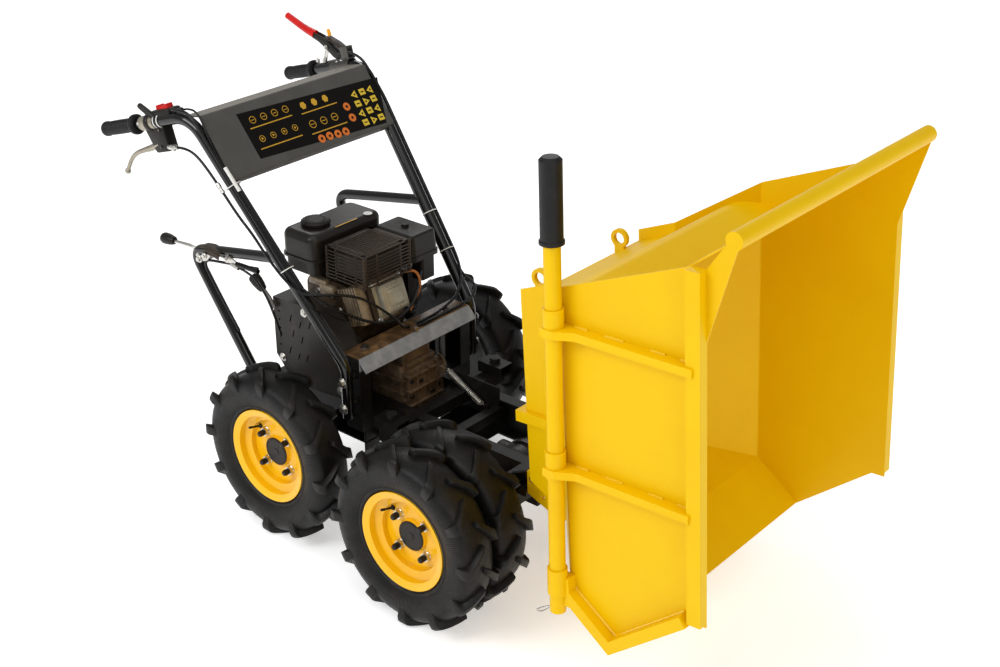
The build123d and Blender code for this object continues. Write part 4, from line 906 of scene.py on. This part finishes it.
bolts("drive_lever_bolts", toward(RIGHT, (-344, 271.5, 946), (-360, 271.5, 938), (-404, 273.5, 968), (-418, 280, 930),
                                  (-440, 279, 926)), 4.6, 4, 1.3)

# cables tied to the tubes
tie = turned([(17.4, -1.1), (19.2, -1.1), (19.5, 0), (19.2, 1.1), (17.4, 1.1)], 40, True)
tie_seats = [tube_place(side, x, 4, 2 * side) for side, x in ((-1, -34), (1, -30), (1, 32), (-1, -170))]
done(copied(tie, tie_seats), "cable_ties", WHITE, 50)
done(placed(ring(4.2, 5.0, 0, 62, 20), tube_place(-1, -196, 19, -8)), "cable_label", WHITE, 50)
lead = [handle_place(-1, 252) @ Vector((0.012, -0.02, 0)), handle_place(-1, 276) @ Vector((0.018, -0.012, 0)),
        at(-262, -262, 963)]
lead += [tube_place(-1, x, 17, -9).translation for x in (-228, -150, -70, 0, 30)]
cable("switch_lead", lead + path((52, -196, 530), (62, -150, 500)), 2.4)

# ---------------------------------------------------------------- control panel
PANEL_FOOT = Vector((-163.0, 0, 822.6))
PANEL_HEAD = Vector((-262.0, 0, 951.1))
panel_run = (PANEL_HEAD - PANEL_FOOT).normalized()
panel_face = panel_run.cross(Vector(LEFT)) * -1
panel_place = along_axes(at(*PANEL_FOOT) + panel_face * 0.0015, Vector(LEFT), panel_run, panel_face)


def mark(sides, size, spot, high=0.9, wide=1.0, turn=0.0, line=0.0):
    """A printed mark as a thin flat shape on the panel: u to the left, v up the slope, millimetres."""
    piece = ring(size - line, size, 0, high, 28) if line else prism(sides, size, 0, high)
    place = Matrix.Translation((spot[0] / 1000, spot[1] / 1000, 0)) @ Matrix.Diagonal((wide, 1, 1, 1))
    return placed(piece, place @ Matrix.Rotation(math.radians(turn), 4, "Z"))


def tile(low_u, high_u, low_v, high_v, high=0.9):
    return slab((low_u, low_v, 0), (high_u, high_v, high))


def printed(marks, name, finish):
    done(placed(joined(marks), panel_place), name, finish, 30)


mesh = bpy.data.meshes.new("decal")
LABEL_CORNERS = [(-164, 25), (239, 6), (283, 122), (-167, 141)]
mesh.from_pydata([(u / 1000, v / 1000, h) for h in (0, 0.0005) for u, v in LABEL_CORNERS], [],
                 [(3, 2, 1, 0), (4, 5, 6, 7), (0, 1, 5, 4), (1, 2, 6, 5), (2, 3, 7, 6), (3, 0, 4, 7)])
printed([worked(linked("decal", mesh), FACE_OUT)], "panel_label", DECAL_BLACK)

amber = [tile(low, high, v, v + 2.5) for low, high, v in ((-150, -20, 97), (-150, -20, 44), (8, 124, 92), (8, 124, 38))]
for u in range(-132, -29, 34):
    amber += [mark(24, 9, (u, 117), line=1.4), mark(24, 8, (u, 68), line=1.3), mark(3, 4, (u, 68), turn=30),
              tile(u - 5, u + 5, 116, 117.4)]
for u in range(24, 97, 36):
    amber += [mark(6, 10, (u, 112), turn=30, wide=0.9), mark(24, 10, (u, 62), line=1.5),
              tile(u - 6, u + 6, 61.2, 62.8)]
printed(amber, "panel_amber_marks", DECAL_AMBER)
ROUND_SPOTS = ((28, 22), (54, 22), (80, 20), (106, 19), (146, 76), (146, 46))
printed([mark(28, 10.5, spot) for spot in ROUND_SPOTS], "panel_orange_marks", DECAL_ORANGE)
printed([mark(4, 4.4, spot, 1.3, turn=45) for spot in ROUND_SPOTS], "panel_dark_marks", DECAL_BLACK)
yellow, ink = [], []
for column in range(3):
    for row in range(4):
        u, v = 178 + 27 * column + 3 * row, 24 + 25 * row
        if (column + row) % 2:
            yellow.append(mark(3, 12, (u, v - 1), turn=90 if row % 2 else -90))
            ink.append(mark(20, 2.6, (u, v - 1), 1.3))
        else:
            yellow.append(tile(u - 9, u + 9, v - 8, v + 8))
            ink.append(tile(u - 5, u + 5, v - 1.4, v + 1.4, 1.3))
printed(yellow, "panel_yellow_marks", DECAL_YELLOW)
printed(ink, "panel_inner_marks", DECAL_BLACK)

# braces
for side, name, elbow in ((-1, "right", at(-374, -230, 590)), (1, "left", at(-350, 230, 600))):
    corners = [at(-50, side * 236, 654), elbow, at(-178, side * 222, 296)]
    cable(name + "_handle_brace", bent(corners, 0.05), 13.0, GLOSS_BLACK, ("rear_brace_" + name,), 8)
cable("brace_cord", bent(path((-120, -246, 612), (-326, -244, 580), (-234, -240, 450), (-226, -236, 430)), 0.04), 3.4)

# ---------------------------------------------------------------- gear controls on the right
cable("gear_rod", path((-448, -222, 584), (-400, -222, 588), (-378, -222, 589), (-362, -222, 580), (-352, -222, 572)),
      4.6, ZINC, ("gear_levers",), 4)
KNOB = [(0, -44), (9, -44), (12.6, -42), (14.2, -37), (14.4, -28), (12.8, -14), (10.2, -3), (8.4, 0), (0, 0)]
seats = [facing(at(-450, -222, 585), (50, 0, 3)), facing(at(-166, -195, 527), (42, 4, -40))]
done(copied(turned(KNOB, 28), seats), "gear_lever_knobs", PLASTIC, 50, ("gear_knobs",))
cover = strap(path((-318, -240, 616), (-290, -240, 620), (-246, -240, 616)), 3, 30)
apron = strap(path((-302, -254, 609), (-274, -254, 611), (-248, -254, 607)), (13, 14, 13), 3)
done(joined([cover, apron]), "gear_cover", GUARD_RUST, 30, slot="handle_paint")
CLEVIS_SHIFT = Matrix.Translation((0.034, -0.024, 0.008))
sides = [strap(path((-362, y, 588), (-352, y, 578), (-330, y, 586), (-318, y, 600)), (12, 16, 16, 18), 3)
         for y in (-230, -214)]
clevis = [placed(joined(sides), CLEVIS_SHIFT), placed(bolt(6, 5), facing(at(-318, -256, 585), RIGHT)),
          placed(bolt(5, 4), facing(at(-298, -256, 598), RIGHT))]
done(joined(clevis), "gear_clevis", ZINC, 30)
TURNBUCKLE_SHIFT = Matrix.Translation((0.016, -0.012, 0.010))
turnbuckle = [bar(path((-326, -226, 586), (-290, -226, 590), (-262, -226, 592)), 1.8),
              placed(prism(12, 4.6, 0, 30, 0.8), facing(at(-264, -226, 592), (1, 0, 0.04))),
              placed(prism(6, 6.6, 0, 9, 0.8), facing(at(-252, -226, 592), (1, 0, 0.04))),
              placed(bolt(5.6, 5), facing(at(-236, -236, 602), (-0.2, -0.5, 0.9))),
              strap(path((-250, -234, 590), (-226, -234, 596), (-204, -234, 590)), (10, 16, 12), 3),
              placed(prism(12, 4.2, 0, 26, 0.8), facing(at(-226, -238, 588), (1, 0, -0.1)))]
done(placed(joined(turnbuckle), TURNBUCKLE_SHIFT), "gear_turnbuckle", ZINC, 30)
cable("gear_cable_sheath", path((-192, -248, 604), (-160, -248, 606), (-120, -246, 604)), 6, detail=4)
cable("gear_control_cable", path((-184, -250, 598), (-150, -246, 592), (-122, -240, 566), (-100, -232, 520),
                                 (-90, -216, 440)), 3.0)
stem = strap(path((-170, -195, 530), (-152, -192, 510), (-138, -189, 486)), 14, 4)
done(stem, "belt_lever_stem", DARK_BOLT, 30)

# ---------------------------------------------------------------- engine
TANK_TOP = 668.0
stripe = slab((0, -49, 0), (3.6, 22, 0.5))
done(placed(stripe, Matrix.Translation(at(-64.5, 0, TANK_TOP))), "tank_stripe", DECAL_AMBER, 30)
done(placed(prism(36, 11, 0, 0.5), Matrix.Translation(at(-66, 62, TANK_TOP))), "tank_sticker", WHITE, 30)

# the cylinder leans forwards: X runs out along it
CYLINDER = Matrix.Translation(at(3, -8, 489)) @ Matrix.Rotation(math.radians(-20), 4, "Y")
FIN_COUNT, FIN_STEP = 9, 9.6
head = slab((54, -50, -46), (62, 52, 46), 3)
ears = [slab((52, y - 9, z - 9), (63, y + 9, z + 9), 3) for y in (-44, 44) for z in (-40, 40)]
done(placed(joined([head] + ears), CYLINDER), "cylinder_head", ENGINE_CAST)
flange = slab((61.6, -44, -44), (64.6, 50, 44), 1)
dome = slab((63, -34, -38), (82, 46, 38), 8)
raised = slab((78, -18, -22), (85, 32, 20), 3)
rim = [slab((78, y, z), (84.6, y + 10, z + 4), 1.4) for y in (-14, 0, 14) for z in (-30, 25)]
done(placed(joined([flange, dome, raised] + rim), CYLINDER), "rocker_cover", COVER_CAST, 40, ("valve_cover",))
corners = [Vector((66, y, z)) / 1000 for y in (-47, 47) for z in (-43, 43)]
outwards = CYLINDER.to_3x3() @ Vector(FRONT)
bolts("rocker_cover_bolts", [(CYLINDER @ corner, outwards) for corner in corners], 4.6, 4.5, 1.35)
cable("spark_plug_lead", path((70, 40, 560), (84, 52, 566), (94, 62, 556), (98, 66, 532), (96, 62, 508), (92, 46, 492),
                              (100, 26, 474)), 3.2, WIRE_BROWN)
fitting("spark_plug_boot", (86, 20, 470), (0.4, 0.6, 0.2), CABLE_BLACK,
        [(0, 0), (6.4, 0), (7.4, 3), (7.0, 16), (5.0, 24), (3.8, 30), (0, 30)])
done(placed(slab((-28, -66, -36), (48, 50, 42), 3), CYLINDER), "cylinder_core", ENGINE_CAST)
fins = [slab((-30 + FIN_STEP * k, -84, -44), (-26.4 + FIN_STEP * k, 57, 50), 1.2) for k in range(FIN_COUNT)]
done(placed(joined(fins), CYLINDER), "cylinder_fins", FIN_CAST)
casting = [slab((-74, -104, 512), (-26, -84, 540), 6), slab((-112, -100, 530), (-54, -80, 548), 4)]
done(placed(joined(casting), MACHINE), "intake_casting", FIN_CAST)


def muffler_cage():
    """Slatted sheet guard round the muffler: see-through sides, comb slots along the top's edges."""
    x0, x1, y0, y1, z0, z1 = -44, 86, -106, 50, 565, 646
    sheet = z1 - 2.6
    parts = [slab((x, y, z0), (x + 9, y + 9, z1), 2) for x in (x0, x1 - 9) for y in (y0, y1 - 9)]
    for row in range(9):
        low = z0 + 2 + 8.4 * row
        parts += [slab((x0 + 4, y, low), (x1 - 4, y + 2, low + 3.4), 0.4) for y in (y0, y1 - 2)]
        parts += [slab((x, y0 + 4, low), (x + 2, y1 - 4, low + 3.4), 0.4) for x in (x0, x1 - 2)]
    for share in (0.25, 0.75):
        x, y = x0 + (x1 - x0) * share, y0 + (y1 - y0) * share
        parts += [slab((x, wall, z0), (x + 5, wall + 2.2, z1 - 2), 0.4) for wall in (y0, y1 - 2.2)]
        parts += [slab((wall, y, z0), (wall + 2.2, y + 5, z1 - 2), 0.4) for wall in (x0, x1 - 2.2)]
    parts += [slab((x0 + 16, y0 + 20 + 8.6 * k, sheet), (x1 - 18, y0 + 24.6 + 8.6 * k, z1), 0.5) for k in range(14)]
    for x, y, wide, deep in ((x0 + 2, y0 + 2, x1 - x0 - 4, 4), (x0 + 2, y0 + 16, x1 - x0 - 4, 4),
                             (x0 + 2, y1 - 18, x1 - x0 - 4, 16), (x0 + 2, y0 + 2, 16, y1 - y0 - 4),
                             (x1 - 20, y0 + 16, 4, y1 - y0 - 20), (x1 - 6, y0 + 2, 4, y1 - y0 - 4)):
        parts.append(slab((x, y, sheet), (x + wide, y + deep, z1), 0.6))
    parts += [slab((x0 + 16 + 7.4 * k, y0 + 4, sheet), (x0 + 20 + 7.4 * k, y0 + 18, z1), 0.4) for k in range(13)]
    parts += [slab((x1 - 18, y0 + 24 + 7.4 * k, sheet), (x1 - 4, y0 + 28 + 7.4 * k, z1), 0.4) for k in range(14)]
    return placed(joined(parts), MACHINE)


def round_about(x, y, z, radius, angles):
    """Points on an upright circle that faces sideways, at angles in radians."""
    return [(x + radius * math.cos(a), y, z + radius * math.sin(a)) for a in angles]


done(muffler_cage(), "muffler_cage", GUARD_RUST, 30, ("muffler_guard",), slot="guard_steel")
case_circle = round_about(-58, -99, 470, 52, (0.3, 1.1, 2.0, 2.9, 3.8, 4.7, 5.6))
bolts("crankcase_bolts", toward(RIGHT, *case_circle), 5.4, 5, 1.4)
feet = [(x, y, 384.6) for x in (-126, 8) for y in (-82, 86)]
bolts("engine_foot_bolts", toward(UP, *feet), 7.5, 7, 1.55, DARK_BOLT)
fitting("recoil_centre", (-58, 169, 470), LEFT, PLASTIC,
        [(0, 0), (30, 0), (33, 2), (33, 5), (30, 7), (26, 4), (8, 4), (6, 8), (0, 8.6)], 40, steps=48)
grasp = turned([(0, -34), (6, -33), (8, -28), (6.6, -10), (6.2, 10), (8, 28), (6, 33), (0, 34)], 24)
grasp_seat = Matrix.Translation(at(44, 124, 540)) @ Matrix.Rotation(math.radians(90), 4, "X")
done(placed(grasp, grasp_seat), "recoil_handle", PLASTIC, 50)
cable("recoil_rope", path((40, 124, 540), (24, 128, 536), (4, 136, 520)), 2.2)
fan_circle = round_about(-58, 150, 470, 72, (0.8, 2.3, 3.9, 5.5))
bolts("fan_housing_bolts", toward(LEFT, *fan_circle), 4.5, 4, 1.5)
cap = turned([(0, -2), (13, -2), (13, 8), (16.5, 9), (17, 12), (17, 24), (14.5, 26), (0, 26)], 24)
wings = slab((-13, -3, 24), (13, 3, 34), 1.5)
done(placed(joined([cap, wings]), facing(at(6, 108, 402), (0.5, 0.2, 0.84))), "oil_filler_cap", PLASTIC, 40)


def spread(piece, count):
    """Copies of a piece at equal steps about Z."""
    return copied(piece, [Matrix.Rotation(2 * math.pi * k / count, 4, "Z") for k in range(count)])


cap = turned([(0, -1), (31, -1), (32, 2), (32, 4), (34, 5), (34.4, 9), (32, 12.4), (25, 14.4), (12, 15.4), (0, 15.6)],
             48)
ridges = spread(slab((33, -1.5, 4), (35.4, 1.5, 11), 0.5), 22)
rays = spread(slab((8, -1.2, 12.6), (26, 1.2, 15.4), 0.6), 14)
done(placed(joined([cap, ridges, rays]), Matrix.Translation(at(-114, -64, 667))), "tank_cap", PLASTIC, 40,
     ("fuel_cap",))

# belt guard, handle feet and stand
bolts("belt_guard_bolts", toward(RIGHT, *((x, -182, z) for x, z in ((-44, 499), (62, 440), (66, 330), (-128, 356)))),
      6.4, 4.5, 1.7)
fitting("belt_guard_plug", (-60, -182, 309), RIGHT, PLASTIC,
        [(0, -1), (15, -1), (16, 2), (14, 9), (9, 12), (0, 13)], steps=32)
spots = [(at(124, side * 229.2, z), (0, side, 0)) for side in (-1, 1) for z in (322, 390)]
bolts("handle_foot_bolts", spots, 8, 7, 1.5)
bolts("crossbar_bolts", toward(UP, (108, -138, 441), (108, 138, 441)), 7, 5, 1.55, DARK_BOLT)
bolts("cable_nuts", toward(FRONT, (133, 2, 446)), 6.5, 9, 1.2)
fitting("brake_adjuster_cap", (84, 96, 399), (0.75, 0.1, 0.35), RED_ORANGE,
        [(0, 0), (9, 0), (9.5, 10), (8.4, 12), (12, 13), (13.4, 18), (12.6, 26), (8, 29.4), (0, 30)], steps=28)

# gear case
case = [slab((140, -46, 230), (158, 64, 356), 5), slab((134, -52, 222), (176, 74, 238), 4)]
case += [slab((140, -50, z), (165, 68, z + 5), 1.5) for z in (262, 300, 338)]
case += [slab((140, y, 232), (164, y + 5, 354), 1.5) for y in (-24, 14, 44)]
case += [slab((120, 66, 236), (150, 88, 290), 5), slab((60, -40, 352), (150, 56, 372), 5)]
done(placed(joined(case), MACHINE), "gear_case_front", GEAR_CASE)
spots = toward(FRONT, *((158, y, z) for y in (-38, 56) for z in (250, 288, 328)), (158, 32, 276), (158, -6, 318))
bolts("gear_case_bolts", spots + toward(UP, (166, 60, 238)), 4.8, 4, 1.25, DARK_BOLT)
fitting("gear_oil_filler", (120, 30, 371), UP, DARK_BOLT,
        [(0, 0), (11, 0), (11, 6), (8, 8), (8, 16), (12, 18), (12, 26), (9, 28), (0, 28)], 40, slot="gear_case")

# bracket on the rear axle's right side, and dark plates round the spring that stand in for shade
bracket = [slab((14, -158, 196), (118, -112, 202), 1), slab((14, -158, 196), (20, -112, 246), 1),
           slab((112, -158, 168), (118, -112, 246), 1)]
done(placed(joined(bracket), MACHINE), "axle_bracket", FRAME_BLACK, 30)
# a black side plate and a tray under the spring: dark sheets put where there is shade
shade_sheets = [slab((176, 79.5, 236), (330, 83, 320), 1), slab((176, -78, 198), (330, 78, 202), 1)]
done(placed(joined(shade_sheets), MACHINE), "spring_tray", FRAME_BLACK, 30)

# coil spring on the gear change
TURNS, PER_TURN, HOOK, COIL_RADIUS = 26, 12, 0.014, 0.0078
first, last = path((168, 68, 327), (297, 68, 261))
run = (last - first).normalized()
side_way = run.cross(Vector(LEFT)).normalized()
other_way = run.cross(side_way)
total = (last - first).length
coil = [first, first.lerp(last, 0.04)]
for k in range(TURNS * PER_TURN + 1):
    along = HOOK + (total - 2 * HOOK) * k / (TURNS * PER_TURN)
    angle = 2 * math.pi * k / PER_TURN
    coil.append(first + run * along + (side_way * math.cos(angle) + other_way * math.sin(angle)) * COIL_RADIUS)
coil += [first.lerp(last, 0.96), last]
arm = [strap(path((146, 68, 354), (160, 68, 348), (168, 68, 330)), (12, 14, 10), 5),
       placed(bolt(5, 4), facing(at(166, 64, 332), RIGHT))]
done(joined(arm), "gear_change_arm", GEAR_CASE)
done(bar(coil, 1.3, 2, ripple=0.0001), "return_spring", ZINC, 60, ("tension_spring",))

# ---------------------------------------------------------------- skip
WELD_Y = -351.0
LEVER_A, LEVER_H = -212.0, 229.0
LEVER_TURN = math.radians(1.7)
RIB_HALF = 25


def bead(start, end, radius=2.6):
    """A weld bead with its ripples, from one point to another."""
    count = max(4, int((end - start).length / 0.004))
    return bar([start.lerp(end, k / count) for k in range(count + 1)], radius, 2, ripple=0.16)


def by_lever(a, y, h):
    """A place on the skip given along and square to the tipping lever, which lies at a slight angle."""
    da, dh = a - LEVER_A, h - LEVER_H
    return on_skip(LEVER_A + da * math.cos(LEVER_TURN) + dh * math.sin(LEVER_TURN), y,
                   LEVER_H - da * math.sin(LEVER_TURN) + dh * math.cos(LEVER_TURN))


welds = []
for a in (-487, -194):
    for edge, parts in ((a, ((262, 292), (330, 372), (430, 462), (494, 519))), (a + 17, ((280, 300), (400, 430)))):
        for low, high in parts:
            welds.append(bead(by_lever(edge, WELD_Y, low), by_lever(edge, WELD_Y, high), 2.8))
for p, q in (((104, 231), (189, 340)), ((194, 342), (58, 522))):
    dx, dz = q[0] - p[0], q[1] - p[1]
    run = math.hypot(dx, dz)
    ends = [on_skip(x - dz / run * RIB_HALF, WELD_Y, z + dx / run * RIB_HALF) for x, z in (p, q)]
    welds.append(bead(*ends))
done(joined(welds), "rib_welds", WELD_YELLOW, body="skip")


def merged_copy(node):
    """A copy of a CAD node's mesh with its loose triangles merged; the node itself is left alone."""
    source = bpy.data.objects[node]
    copy = linked(node + "_copy", source.data.copy())
    copy.data.transform(source.matrix_world)
    copy.data.materials.clear()
    return worked(copy, MERGE)


BAND_SHIFT = Matrix.Translation(on_skip(30, 0, 0) - on_skip(0, 0, 0))
band = merged_copy("skip_belly_band")
band.data.transform(BAND_SHIFT)
done(band, "skip_cross_band", SKIP_YELLOW, 30, ("skip_belly_band",), "skip")
cable("lever_lock_clip", path((868, -373, 197), (846, -377, 193), (830, -383, 184), (819, -386, 175), (822, -379, 168),
                              (836, -375, 176), (850, -371, 193), (862, -370, 198)), 1.8, ZINC, body="skip")
